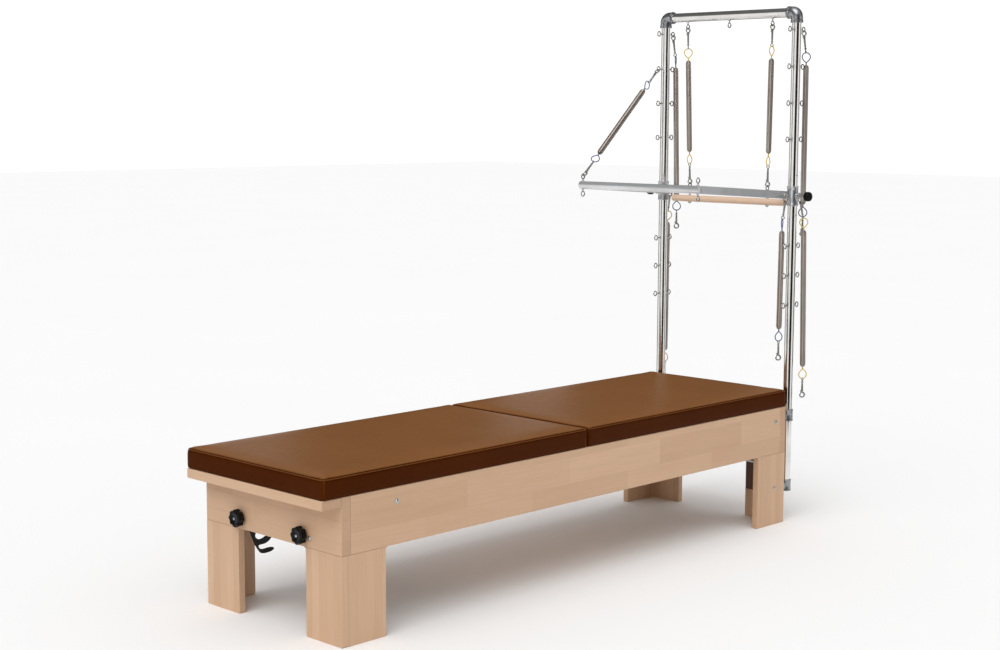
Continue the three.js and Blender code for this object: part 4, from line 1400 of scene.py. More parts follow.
# ---------------------------------------------------------------- hardware at the foot end
@dataclass
class FootHardware:
    """Two star knobs on the foot board and the hook brackets that they clamp behind it."""

    finishes: Finishes
    x: float = 166.0
    z: float = 340.0
    board: float = 38.0
    lobes: int = 8
    radius: float = 31.0
    dip: float = 4.2
    standoff: float = 7.0
    thickness: float = 24.0
    plate_x: float = 197.0
    plate: float = 4.0
    plate_bottom: float = 306.0
    plate_top: float = 372.0
    plate_wide: float = 60.0

    def build(self) -> None:
        """Builds both knobs and both brackets."""
        for name, side in SIDES.items():
            self.knob(name, side)
            self.bracket(name, side)

    def knob(self, name: str, side: int) -> None:
        """A star knob: point (i, t) lies k_i * (R - dip * (1 - cos(lobes t)) / 2) from the middle.

        Args:
            name: The side's name.
            side: -1 or 1.
        """
        turn = np.linspace(0, 2 * np.pi, self.lobes * 12, endpoint=False)
        star = self.radius - self.dip * 0.5 * (1 - np.cos(self.lobes * turn))
        back, front = -self.standoff, -self.standoff - self.thickness
        rows = np.array([
            [0.0, back + 3], [0.5, back + 3], [0.62, back],
            [0.94, back], [0.985, back - 1.2], [1.0, back - 3.5],
            [1.0, front + 7], [0.985, front + 4], [0.94, front + 1.6], [0.86, front + 0.2], [0.78, front],
            [0.5, front + 0.3], [0.46, front + 1.2], [0.4, front + 2.6], [0.2, front + 2.8], [0.0, front + 2.8],
        ])
        blend = np.clip((rows[:, :1] - 0.45) / 0.4, 0.0, 1.0)
        reach = rows[:, :1] * (blend * star + (1 - blend) * self.radius)
        points = np.stack(
            [
                side * self.x + reach * np.cos(turn), np.broadcast_to(rows[:, 1:], reach.shape),
                self.z + reach * np.sin(turn),
            ],
            axis=-1,
        )
        skin = Skin().grid(points)
        skin.grid(
            turned(
                [[0, 0.5], [13.5, 0.5], [14.5, 2], [14.5, 7], [0, 7]],
                (side * self.x, 0, self.z),
                [0, -1, 0],
                32,
            )
        )
        body = f"star_knob_{name}"
        finished(skin.mesh(f"knob_{name}_star"), body, self.finishes.plastic, (body,), 38.0)
        insert = Skin()
        cap = [[0, 1.0], [1.6, 1.0], [1.9, 2.4], [3.2, 2.4], [4.6, 1.8], [5.2, 0.4], [5.2, -2], [0, -2]]
        insert.grid(turned(cap, (side * self.x, front + 2.8, self.z), [0, -1, 0], 24))
        insert.grid(
            rod([(side * self.x, -3, self.z), (side * self.x, self.board + 14, self.z)], 3.9, Axis.X.value, 20)
        )
        finished(insert.mesh(f"knob_{name}_stud"), body, self.finishes.zinc)

    def outline(self) -> Array:
        """The hook plate's outline: a tapering spine, a thick prong that curls up and a thin one at the tip.

        Returns:
            Rows of distance behind the foot board and height.
        """
        spine = [[0.5, self.plate_bottom], [19, 279], [29, 259], [38, 237], [48, 217], [58, 203]]
        low_prong = [
            [68, 191], [82, 187], [102, 187], [118, 190], [126, 195], [124, 201], [112, 204], [96, 204],
            [80, 203],
        ]
        between = [[68, 205], [61, 212], [61, 219], [72, 220], [88, 221], [103, 227], [118, 239]]
        high_prong = [[129, 253], [130, 261], [122, 265], [108, 259], [94, 249], [80, 243], [68, 240]]
        notch = [[57, 242], [49, 248], [46, 256], [49, 265], [58, 277], [66, 292], [68, 312]]
        edge = smooth_path([*spine, *low_prong, *between, *high_prong, *notch], 4)
        return np.vstack([[[0.5, self.plate_top]], edge, [[62, 342], [44, self.plate_top]]])

    def bracket(self, name: str, side: int) -> None:
        """An angle of steel: one wall lies against the board, the other is the hook plate.

        Args:
            name: The side's name.
            side: -1 or 1.
        """
        back = self.board + 0.4
        inner = side * self.plate_x
        plate = Skin().slab(self.outline() + [back, 0.0], *sorted((inner, inner + side * self.plate)), Axis.X)
        wide, lap = inner - side * self.plate_wide, inner + side * 2
        corners = rounded_outline([min(wide, lap), self.plate_bottom], [max(wide, lap), self.plate_top], 6.0)
        plate.slab(corners, back, back + self.plate, Axis.Y)
        piece = plate.mesh(f"hook_plate_{name}")
        soften(piece, 1.2)
        finished(piece, "frame", self.finishes.powder, (f"hook_bracket_{name}",))


# ---------------------------------------------------------------- tower
@dataclass
class Tower:
    """Two steel uprights and a crossbar on cast fittings, with rows of eyes and two sliding sleeves."""

    finishes: Finishes
    x: float = 341.6
    y: float = 2465.0
    frame_end: float = 2427.0
    crossbar_z: float = 2117.5
    radius: float = 19.0
    wall: float = 2.0
    bottom: float = 139.3
    eye_reach: float = 48.0
    eye_heights: tuple[float, ...] = (2049, 1898, 1749, 1601, 1161, 1038, 914)
    hole_heights: tuple[float, ...] = (1453, 1288)
    hole_radius: float = 4.0
    elbow_radius: float = 24.6
    elbow_bend: float = 21.0
    elbow_socket: float = 42.0
    clamp_z: float = 426.0
    foot_z: float = 127.0
    fitting_height: float = 49.0
    fitting_bore: float = 19.2
    socket_radius: float = 22.5
    lug_half: float = 13.0
    lug_drop: float = 9.0
    screw_inset: float = 12.0
    collar_lip: float = 1.4
    elbow_screw_inset: float = 11.0
    boss_start: float = 18.0
    sleeve_screw_height: float = 30.0
    sleeve_z: float = 1368.0
    sleeve_height: float = 82.0
    sleeve_radius: float = 24.0
    boss: float = 13.0
    boss_reach: float = 42.0
    pin_z: float = 1371.0
    pin_inner: float = 301.5
    arm_outer: float = 311.0
    crossbar_eyes: tuple[float, ...] = (-221.0, 0.0, 221.0)
    crossbar_drop: float = 41.0

    def build(self) -> None:
        """Builds the whole tower."""
        for name, side in SIDES.items():
            self.upright(name, side)
            self.eyes(name, side)
            self.elbow(name, side)
            self.fittings(name, side)
            self.sleeve(name, side)
            self.plunger(name, side)
            self.block(name)
        self.crossbar()

    def pipe(self, start: Array, direction: Array, length: float, sides: int = 72) -> Array:
        """An open tube as one closed ring of wall, its mouth edges cut back by 0.4."""
        outer, inner = self.radius, self.radius - self.wall
        profile = [
            [inner, 0.4], [inner + 0.4, 0], [outer - 0.4, 0], [outer, 0.4],
            [outer, length - 0.4], [outer - 0.4, length], [inner + 0.4, length], [inner, length - 0.4],
        ]
        return turned(profile, start, direction, sides)

    def upright(self, name: str, side: int) -> None:
        """One upright: a tube with two index holes bored through its outer wall.

        Args:
            name: The side's name.
            side: -1 or 1.
        """
        foot = (side * self.x, self.y, self.bottom)
        tube = Skin().grid(
            self.pipe(foot, [0, 0, 1], self.crossbar_z - 24 - self.bottom), closed=True
        ).mesh(f"upright_{name}_tube")
        drills = Skin()
        for z in self.hole_heights:
            start, end = (side * (self.x + 10), self.y, z), (side * (self.x + 30), self.y, z)
            drills.grid(rod([start, end], self.hole_radius, Axis.Z.value, 24, 0.1))
        drill = drills.mesh("drill")
        bore = tube.modifiers.new("index holes", "BOOLEAN")
        bore.operation, bore.object, bore.solver = "DIFFERENCE", drill, "EXACT"
        cut = bpy.data.meshes.new_from_object(tube.evaluated_get(bpy.context.evaluated_depsgraph_get()))
        tube.modifiers.clear()
        tube.data = cut
        cut.name = tube.name
        bpy.data.objects.remove(drill)
        finished(tube, "frame", self.finishes.steel, (f"tower_upright_{name}",))

    def eyes(self, name: str, side: int) -> None:
        """The rows of eyes down the front and back of one upright."""
        skin, eye = Skin(), EyeBolt()
        for z in self.eye_heights:
            for face in (-1, 1):
                eye.add(
                    skin, (side * self.x, self.y + face * self.eye_reach, z),
                    (side * self.x, self.y + face * self.radius, z),
                )
        finished(skin.mesh(f"upright_{name}_eyes"), "frame", self.finishes.nickel)

    def elbow(self, name: str, side: int) -> None:
        """A cast corner: a round bar bent through a quarter circle, with a thicker collar at each mouth.

        Args:
            name: The side's name.
            side: -1 or 1.
        """
        corner = np.array([side * self.x, self.y, self.crossbar_z])
        bend, socket = self.elbow_bend, self.elbow_socket
        level = np.linspace(socket, bend, 6)[:, None]
        down = corner - level * [0, 0, 1.0]
        angle = np.radians(np.linspace(0, 90, 14)[1:-1])[:, None]
        pivot = corner + [-side * bend, 0, -bend]
        turn = pivot + bend * (np.cos(angle) * [side * 1.0, 0, 0] + np.sin(angle) * [0, 0, 1.0])
        along = corner - level[::-1] * [side * 1.0, 0, 0]
        path = np.vstack([down, turn, along])
        run = np.minimum(np.arange(len(path)), np.arange(len(path))[::-1])
        radii = np.where(run <= 2, self.elbow_radius + self.collar_lip, self.elbow_radius)
        skin = Skin().grid(rod(path, radii, [0, 1, 0], 48, 1.6))
        piece = skin.mesh(f"elbow_{name}")
        finished(piece, "frame", self.finishes.cast, (f"tower_elbow_{name}",), 50.0)
        screws = Skin()
        reach = self.elbow_radius + 0.9
        for face in (-1, 1):
            inset = socket - self.elbow_screw_inset
            bolt_head(screws, tuple(corner + [0, face * reach, -inset]), [0, face, 0], 3.6)
            bolt_head(screws, tuple(corner + [-side * inset, face * reach, 0]), [0, face, 0], 3.6)
        finished(screws.mesh(f"elbow_{name}_screws"), "frame", self.finishes.zinc)

    def collar(self, place: Array, radius: float, height: float, inner: float) -> Array:
        """A cast collar: a turned ring with a lip at each end and eased edges."""
        profile = [
            [inner, 0.0], [radius - 1.2, 0.0], [radius, 1.2], [radius, 6.0], [radius - 1.0, 7.5],
            [
                radius - 1.0, height - 7.5
            ], [radius, height - 6.0], [radius, height - 1.2], [radius - 1.2, height], [inner, height],
        ]
        return turned(profile, place, [0, 0, 1], 56)

    def fittings(self, name: str, side: int) -> None:
        """The clamp at the head board and the cup at the leg: collars with a lug against the wood."""
        place = np.array([side * self.x, self.y, 0.0])
        for node, piece_name, level, floor in (
            (f"upright_clamp_{name}", f"clamp_{name}", self.clamp_z, False),
            (f"upright_foot_{name}", f"socket_{name}", self.foot_z, True),
        ):
            radius = self.socket_radius if floor else self.sleeve_radius
            skin = Skin().grid(
                self.collar(place + [0, 0, level], radius, self.fitting_height, self.fitting_bore), closed=True
            )
            if floor:
                skin.grid(
                    turned(
                        [[0, 0.2], [radius - 1, 0.2], [radius - 1, 11.5], [0, 11.5]],
                        place + [0, 0, level],
                        [0, 0, 1],
                        48,
                    )
                )
            near, far = side * self.x - self.lug_half, side * self.x + self.lug_half
            bottom, top = level + self.lug_drop, level + self.fitting_height - self.lug_drop
            lug = rounded_outline([near, bottom], [far, top], 5.0)
            skin.slab(lug, self.frame_end + 0.3, self.y - 18.0, Axis.Y)
            piece = skin.mesh(piece_name)
            finished(piece, "frame", self.finishes.cast, (node,), 40.0)
            screws = Skin()
            for height in (self.screw_inset, self.fitting_height - self.screw_inset):
                bolt_head(screws, (side * (self.x + radius - 0.6), self.y, level + height), [side, 0, 0], 3.4)
                bolt_head(screws, (side * self.x, self.y + radius - 0.6, level + height), [0, 1, 0], 3.4)
            finished(screws.mesh(f"{piece_name}_screws"), "frame", self.finishes.zinc)

    def sleeve(self, name: str, side: int) -> None:
        """The sliding sleeve: a collar with a boss for the plunger, a boss and pin for the arm, and two eyes.

        Args:
            name: The side's name.
            side: -1 or 1.
        """
        centre = np.array([side * self.x, self.y, self.sleeve_z])
        low = centre - [0, 0, self.sleeve_height / 2]
        skin = Skin().grid(
            self.collar(low, self.sleeve_radius, self.sleeve_height, self.fitting_bore), closed=True
        )
        boss, start, end = self.boss, self.boss_start, self.boss_reach
        outer = [[0, start], [boss, start], [boss, end - 1.2], [boss - 1.2, end], [5.2, end], [0, end]]
        skin.grid(turned(outer, centre, [side, 0, 0], 40))
        reach = self.x - self.arm_outer - 0.4
        inner = [[0, start], [boss, start], [boss, reach - 0.8], [boss - 0.8, reach], [0, reach]]
        pivot = centre + [0, 0, self.pin_z - self.sleeve_z]
        skin.grid(turned(inner, pivot, [-side, 0, 0], 40))
        finished(
            skin.mesh(f"sleeve_{name}_body"), "frame", self.finishes.bright_cast,
            (f"sleeve_{name}",), 40.0,
        )
        metal, eye = Skin(), EyeBolt()
        pin_end = self.x - self.pin_inner
        metal.grid(
            turned(
                [[0, reach - 2], [5.8, reach - 2], [5.8, pin_end - 0.6], [5.2, pin_end], [0, pin_end]],
                pivot,
                [-side, 0, 0],
                24,
            )
        )
        for face in (-1, 1):
            eye.add(
                metal,
                tuple(centre + [0, face * self.eye_reach, 0]),
                tuple(centre + [0, face * (self.sleeve_radius - 1), 0]),
            )
            for height in (-self.sleeve_screw_height, self.sleeve_screw_height):
                bolt_head(
                    metal, tuple(centre + [0, face * (self.sleeve_radius - 0.6), height]), [0, face, 0], 3.0
                )
        finished(metal.mesh(f"sleeve_{name}_hardware"), "frame", self.finishes.nickel)

    def plunger(self, name: str, side: int) -> None:
        """The spring plunger: a steel pin and neck inside a black mushroom knob with grooves round its rim.

        Args:
            name: The side's name.
            side: -1 or 1.
        """
        centre = (side * self.x, self.y, self.sleeve_z)
        reach = self.boss_reach + 0.3
        head = [
            [0, 61], [9.5, 61], [12, 62], [17.5, 63.5], [19.6, 66], [20, 69], [20, 77],
            [19.5, 81.5], [17.8, 85], [14.5, 87.6], [10, 88.7], [5, 89], [0, 89],
        ]
        profile = np.array(head, float)
        surface = turned(profile, centre, [side, 0, 0], 72)
        axis_point = np.array(centre) + np.einsum(
            "ijk,k->ij", surface - centre, [1.0, 0, 0]
        )[..., None] * [1.0, 0, 0]
        turn = np.linspace(0, 2 * np.pi, 72, endpoint=False)
        flute = 1 - 0.035 * (0.5 + 0.5 * np.cos(12 * turn)) * ((profile[:, :1] > 18.5) * 1.0)
        surface = axis_point + (surface - axis_point) * flute[..., None]
        body = f"plunger_{name}"
        finished(
            Skin().grid(surface).mesh(f"plunger_{name}_knob"), body, self.finishes.plastic,
            (body,), 40.0,
        )
        stem = [
            [0, 21], [3.9, 21], [3.9, reach], [8.6, reach], [8.6, reach + 8], [7.4, reach + 9], [7.4, 62],
            [0, 62],
        ]
        piece = Skin().grid(turned(stem, centre, [side, 0, 0], 32)).mesh(f"plunger_{name}_stem")
        finished(piece, body, self.finishes.zinc)

    def block(self, name: str) -> None:
        """The dark wooden block inside the head legs, with its bolt and a bright fixing strip on top."""
        low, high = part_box(f"tower_block_{name}")
        low = np.array(low) / MM - [0, FRONT_Y / MM, 0]
        high = np.array(high) / MM - [0, FRONT_Y / MM, 0]
        piece = Skin().block(low, high - [0, 0, 6]).mesh(f"leg_block_{name}")
        soften(piece, 2.5)
        finished(piece, "frame", self.finishes.block_wood, (f"tower_block_{name}",))
        metal = Skin().block([low[0] + 4, low[1] + 3, high[2] - 5.8], [high[0] - 4, high[1] - 3, high[2]])
        middle = (low + high) / 2
        bolt_head(metal, (middle[0], low[1], low[2] + 34), [0, -1, 0], 8.0)
        bolt_head(metal, (middle[0], low[1], high[2] - 34), [0, -1, 0], 8.0)
        finished(metal.mesh(f"leg_block_{name}_metal"), "frame", self.finishes.zinc)

    def crossbar(self) -> None:
        """The crossbar between the elbows and the three eyes under it."""
        half = self.x - self.radius - 4
        tube = Skin().grid(
            self.pipe((-half, self.y, self.crossbar_z), [1, 0, 0], 2 * half), closed=True
        ).mesh("crossbar_tube")
        finished(tube, "frame", self.finishes.cross_steel, ("tower_crossbar",))
        skin, eye = Skin(), EyeBolt()
        for x in self.crossbar_eyes:
            eye.add(
                skin, (x, self.y, self.crossbar_z - self.crossbar_drop),
                (x, self.y, self.crossbar_z - self.radius),
            )
        finished(skin.mesh("crossbar_eyes"), "frame", self.finishes.nickel)


# ---------------------------------------------------------------- bars
@dataclass
class PushBar:
    """The push-through bar: an aluminium tube held by two flat arms that turn on the sleeves."""

    finishes: Finishes
    pivot_y: float = 2465.0
    pivot_z: float = 1371.0
    reach: float = 584.0
    rise: float = 38.0
    radius: float = 16.0
    wall: float = 2.5
    half: float = 312.0
    arm_height: float = 32.0
    arm_inner: float = 303.0
    arm_thickness: float = 8.0
    eye_x: float = 300.0
    eye_height: float = 36.0
    body: str = "push_through_bar"

    def build(self) -> None:
        """Builds the tube, its plugs and eyes, and both arms."""
        self.tube()
        for name, side in SIDES.items():
            self.arm(name, side)

    def tube(self) -> None:
        """The tube across the front, with plastic plugs in its ends and two eyes near each end."""
        y, z = self.pivot_y - self.reach, self.pivot_z + self.rise
        outer, inner, length = self.radius, self.radius - self.wall, 2 * self.half
        profile = [
            [inner, 0.6], [inner + 0.6, 0], [outer - 0.8, 0], [outer, 0.8],
            [outer, length - 0.8], [outer - 0.8, length], [inner + 0.6, length], [inner, length - 0.6],
        ]
        skin = Skin().grid(turned(profile, (-self.half, y, z), [1, 0, 0], 64), closed=True)
        finished(skin.mesh("bar_tube_shell"), self.body, self.finishes.satin, ("bar_tube",))
        fittings, plugs, eye = Skin(), Skin(), EyeBolt()
        for side in SIDES.values():
            cap = [[0, -14], [inner - 0.1, -14], [inner - 0.1, -0.6], [inner - 1.2, -0.3], [0, -0.3]]
            plugs.grid(turned(cap, (side * self.half, y, z), [side, 0, 0], 40))
            for up in (-1, 1):
                eye.add(
                    fittings, (side * self.eye_x, y, z + up * self.eye_height),
                    (side * self.eye_x, y, z + up * self.radius),
                )
        finished(fittings.mesh("bar_eyes"), self.body, self.finishes.nickel)
        finished(plugs.mesh("bar_plugs"), self.body, self.finishes.satin_arm)

    def arm(self, name: str, side: int) -> None:
        """A flat arm from the tube to the sleeve, round at the pivot, with a pivot washer and a screw.

        Args:
            name: The side's name.
            side: -1 or 1.
        """
        along = unit(np.array([-self.reach, self.rise]))
        square = np.array([-along[1], along[0]])
        pivot = np.array([self.pivot_y, self.pivot_z])
        span = math.hypot(self.reach, self.rise) - self.radius + 1.0
        half = self.arm_height / 2
        cap = arc(pivot, -along, square, half, -90, 90, 20)
        ends = np.array([pivot + along * span + square * half, pivot + along * span - square * half])
        levels = sorted((side * self.arm_inner, side * (self.arm_inner + self.arm_thickness)))
        piece = Skin().slab(np.vstack([cap, ends]), *levels, Axis.X).mesh(f"arm_{name}_bar")
        soften(piece, 0.9)
        finished(piece, self.body, self.finishes.satin_arm, (f"bar_arm_{name}",))
        metal = Skin()
        outer = side * (self.arm_inner + self.arm_thickness)
        screw = pivot + along * 54.0
        bolt_head(metal, (outer - side * 0.2, screw[0], screw[1]), [side, 0, 0], 4.2)
        bolt_head(metal, (side * self.arm_inner + side * 0.2, pivot[0], pivot[1]), [-side, 0, 0], 6.4)
        finished(metal.mesh(f"arm_{name}_screws"), self.body, self.finishes.zinc)


@dataclass
class RollDownBar:
    """A wooden dowel with round ends, hung from two eyes whose shanks pass through to nuts beneath."""

    finishes: Finishes
    y: float = 2477.0
    z: float = 1338.5
    radius: float = 14.2
    half: float = 299.0
    eye_x: float = 205.0
    eye_height: float = 58.5

    def build(self) -> None:
        """Builds the dowel and its fittings."""
        ends = [(-self.half, self.y, self.z), (self.half, self.y, self.z)]
        stick = Skin().grid(rod(ends, self.radius, Axis.Z.value, 48, 6.0)).mesh("dowel_bar")
        finished(stick, "roll_down_bar", self.finishes.dowel, ("roll_down_bar",))
        skin, eye = Skin(), EyeBolt()
        for side in SIDES.values():
            x = side * self.eye_x
            eye.add(skin, (x, self.y, self.z + self.eye_height), (x, self.y, self.z + self.radius))
            washer = [[0, -0.5], [8.5, -0.5], [8.8, 0.4], [8.5, 1.4], [0, 1.4]]
            skin.grid(turned(washer, (x, self.y, self.z - self.radius + 0.4), [0, 0, -1], 24))
            nut(skin, (x, self.y, self.z - self.radius - 0.8), [0, 0, -1], 6.2, 5.0)
            skin.grid(
                rod(
                    [(x, self.y, self.z - self.radius), (x, self.y, self.z - self.radius - 8.5)],
                    2.7,
                    Axis.X.value,
                    14,
                )
            )
        finished(skin.mesh("dowel_fittings"), "roll_down_bar", self.finishes.nickel)


# ---------------------------------------------------------------- springs
class Enamel(Enum):
    """The colour on a spring's end loops, which tells its strength."""

    YELLOW = (Slot.YELLOW, "yellow")
    BLUE = (Slot.BLUE, "blue")
    VIOLET = (Slot.VIOLET, "violet")


@dataclass
class SpringKit:
    """The shapes that every spring shares: the coil, its coloured end loops and its snap hooks."""

    finishes: Finishes
    coil_radius: float = 10.6
    wire: float = 1.32
    pitch: float = 2.66
    tip_radius: float = 3.6
    tip: float = 14.0
    loop: float = 17.2
    loop_wire: float = 2.1
    loop_to_coil: float = 34.0
    bow: float = 10.0

    def coil(self, skin: Skin, upper: Array, lower: Array, inset: float | None = None, sides: int = 6) -> Skin:
        """Adds the coil: a helix r(s) * (cos t, sin t) about the line, round wire touching turn to turn.

        r grows from the tip radius to the coil radius along a quarter ellipse at each end.

        Args:
            skin: Where it goes.
            upper: Middle of the upper loop.
            lower: Middle of the lower loop.
            inset: Distance from each loop's middle to the coil.
            sides: Faces round the wire.

        Returns:
            The skin.
        """
        upper, lower = np.array(upper, float), np.array(lower, float)
        inset = self.loop_to_coil if inset is None else inset
        axis = unit(lower - upper)
        first, second = across(axis)
        length = np.linalg.norm(lower - upper) - 2 * inset
        turns = length / self.pitch
        t = np.linspace(0, 1, int(turns * 18))
        place = t * length
        near_end = np.clip(np.minimum(place, length - place) / self.tip, 0, 1)
        radius = self.tip_radius + (self.coil_radius - self.tip_radius) * np.sqrt(1 - (1 - near_end) ** 2)
        angle = 2 * np.pi * turns * t
        spoke = np.cos(angle)[:, None] * first + np.sin(angle)[:, None] * second
        ring = circle(self.wire, sides)
        path = upper + (inset + place)[:, None] * axis + radius[:, None] * spoke
        # The wire is nearly square to the axis, so its section lies along the spoke and the axis.
        section = ring[None, :, :1] * spoke[:, None] + ring[None, :, 1:] * axis
        body = path[:, None] + section
        caps = [path[:1, None] + 0 * section[:1], path[-1:, None] + 0 * section[-1:]]
        return skin.grid(np.concatenate([caps[0], body, caps[1]]))

    def end_loop(self, skin: Skin, centre: Array, towards_coil: Array, face: Array) -> Skin:
        """Adds a coloured loop: a ring (R cos t + 5 max(cos t, 0)^5, R sin t) drawn to a point at the coil.

        Args:
            skin: Where it goes.
            centre: Middle of the loop.
            towards_coil: Direction to the coil.
            face: Direction that the loop faces.

        Returns:
            The skin.
        """
        centre = np.array(centre, float)
        axis = unit(np.array(towards_coil, float))
        face = np.array(face, float)
        face = unit(face - axis * (face @ axis))
        out = np.cross(face, axis)
        turn = np.linspace(0, 2 * np.pi, 40, endpoint=False)[:, None]
        point = np.maximum(np.cos(turn), 0.0) ** 5
        ring = centre + (
            self.loop * np.cos(turn) + 5.0 * point
        ) * axis + self.loop * np.sin(turn) * (1 - 0.25 * point) * out
        skin.grid(wire_loop(ring, face, self.loop_wire), closed=True)
        neck = [centre + axis * (self.loop + 4.0), centre + axis * (self.loop_to_coil + 9)]
        return skin.grid(rod(neck, self.loop_wire * 1.25, face, 12, 1.0))

    def snap_hook(self, skin: Skin, loop: Array, eye: Array, side: Array, face: Array) -> Skin:
        """Adds a swivel snap hook: an eye round the loop, a barrel, and a bow with a sprung gate.

        Distances run from the middle of the loop to the middle of the eye that it is hooked on. The bow is
        an open ring that starts at the body and ends short of it, where the gate closes the gap.

        Args:
            skin: Where it goes.
            loop: Middle of the spring's end loop.
            eye: Middle of the eye.
            side: Direction that lies in the bow's plane.
            face: Direction that the end loop faces.

        Returns:
            The skin.
        """
        loop, eye = np.array(loop, float), np.array(eye, float)
        reach = np.linalg.norm(eye - loop)
        axis = unit(eye - loop)
        side = np.array(side, float)
        side = unit(side - axis * (side @ axis))
        normal = np.cross(axis, side)
        face = np.array(face, float)
        face = unit(face - axis * (face @ axis))

        def at(along: float, out: float = 0.0) -> Array:
            """The point a distance along the hook and a distance to its side."""
            return loop + axis * along + side * out

        swivel = self.loop + 4.6
        skin.grid(hoop(at(swivel), np.cross(axis, face), 6.0, 1.9, 24, 8), closed=True)
        start = swivel + 5.0
        middle = reach - 5.0 - self.bow
        foot = middle - self.bow - 4.0
        shank = [[0, 0], [2.6, 0.4], [3.2, 2], [3.0, 4], [4.6, 5.5], [4.8, 9.5], [3.4, 11], [3.2, 13]]
        neck = [
            [4.0, 15.5], [4.6, foot - start - 8], [5.2, foot - start - 2], [4.4, foot - start + 2],
            [0, foot - start + 3.4],
        ]
        skin.grid(turned([*shank, *neck], at(start), axis, 20))
        sweep = arc(at(middle), -axis, side, self.bow, -8, 290, 30)
        path = np.vstack([at(foot - 2, 0.0), sweep])
        size = np.interp(np.linspace(0, 1, len(path)), [0, 0.12, 0.55, 0.85, 1.0], [4.0, 3.4, 3.1, 2.7, 1.9])
        skin.grid(rod(path, size, normal, 14, 1.8))
        gate = np.array(
            [
                at(middle + 2.0, -self.bow + 1.2), at(middle - self.bow * 0.7, -self.bow * 0.62),
                at(foot - 4, -3.6),
            ]
        )
        skin.grid(rod(smooth_path(gate, 5), 2.0, normal, 10, 1.0))
        thumb = at(foot - 3.0, -4.0)
        return skin.grid(rod([thumb, thumb - side * 5.0], 2.0, normal, 10, 1.4))


@dataclass
class HungSpring:
    """One spring of the tower: what it hangs from, how it lies, and the colour of its loops."""

    name: str
    eye: Point
    upper: Point
    lower: Point
    enamel: Enamel
    hook_to: Point
    bodies: tuple[str, str]
    nodes: tuple[str, ...]
    faces: tuple[float, float] = (44.0, 44.0)
    free_side: float = 44.0

    def facing(self, turn: float) -> Array:
        """The horizontal direction turned by degrees from -Y towards +X."""
        angle = math.radians(turn)
        return np.array([math.sin(angle), -math.cos(angle), 0.0])

    def build(self, kit: SpringKit) -> None:
        """Builds the coil, the two end loops and the two snap hooks.

        Args:
            kit: The shared shapes.
        """
        slot, colour = self.enamel.value
        upper_body, lower_body = self.bodies
        axis = unit(np.array(self.lower) - np.array(self.upper))
        coil = kit.coil(Skin(), self.upper, self.lower).mesh(f"{self.name}_coil")
        together = upper_body == lower_body
        finished(coil, upper_body if together else "", kit.finishes.coil, (self.nodes[0],), 60.0)
        if not together:
            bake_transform(coil)
        ends = (
            ("top", self.upper, axis, self.faces[0], self.eye, Axis.X.value, upper_body, ()),
            (
                "bottom", self.lower, -axis, self.faces[1], self.hook_to, self.lower_side(), lower_body,
                self.nodes[1:],
            ),
        )
        enamel = getattr(kit.finishes, colour)
        for end, loop, inward, turn, eye, side, body, nodes in ends:
            face = self.facing(turn)
            ring = kit.end_loop(Skin(), loop, inward, face).mesh(f"{self.name}_loop_{end}")
            finished(ring, body, enamel, (), 60.0)
            hook = kit.snap_hook(Skin(), loop, eye, side, face).mesh(f"{self.name}_hook_{end}")
            finished(hook, body, kit.finishes.snap, nodes, 50.0)

    def lower_side(self) -> Array:
        """The bow's plane at the bottom: across the eye that it holds, or turned for a free hook."""
        free = self.bodies[0] == self.bodies[1]
        return self.facing(self.free_side + 90.0) if free else np.array(Axis.X.value)


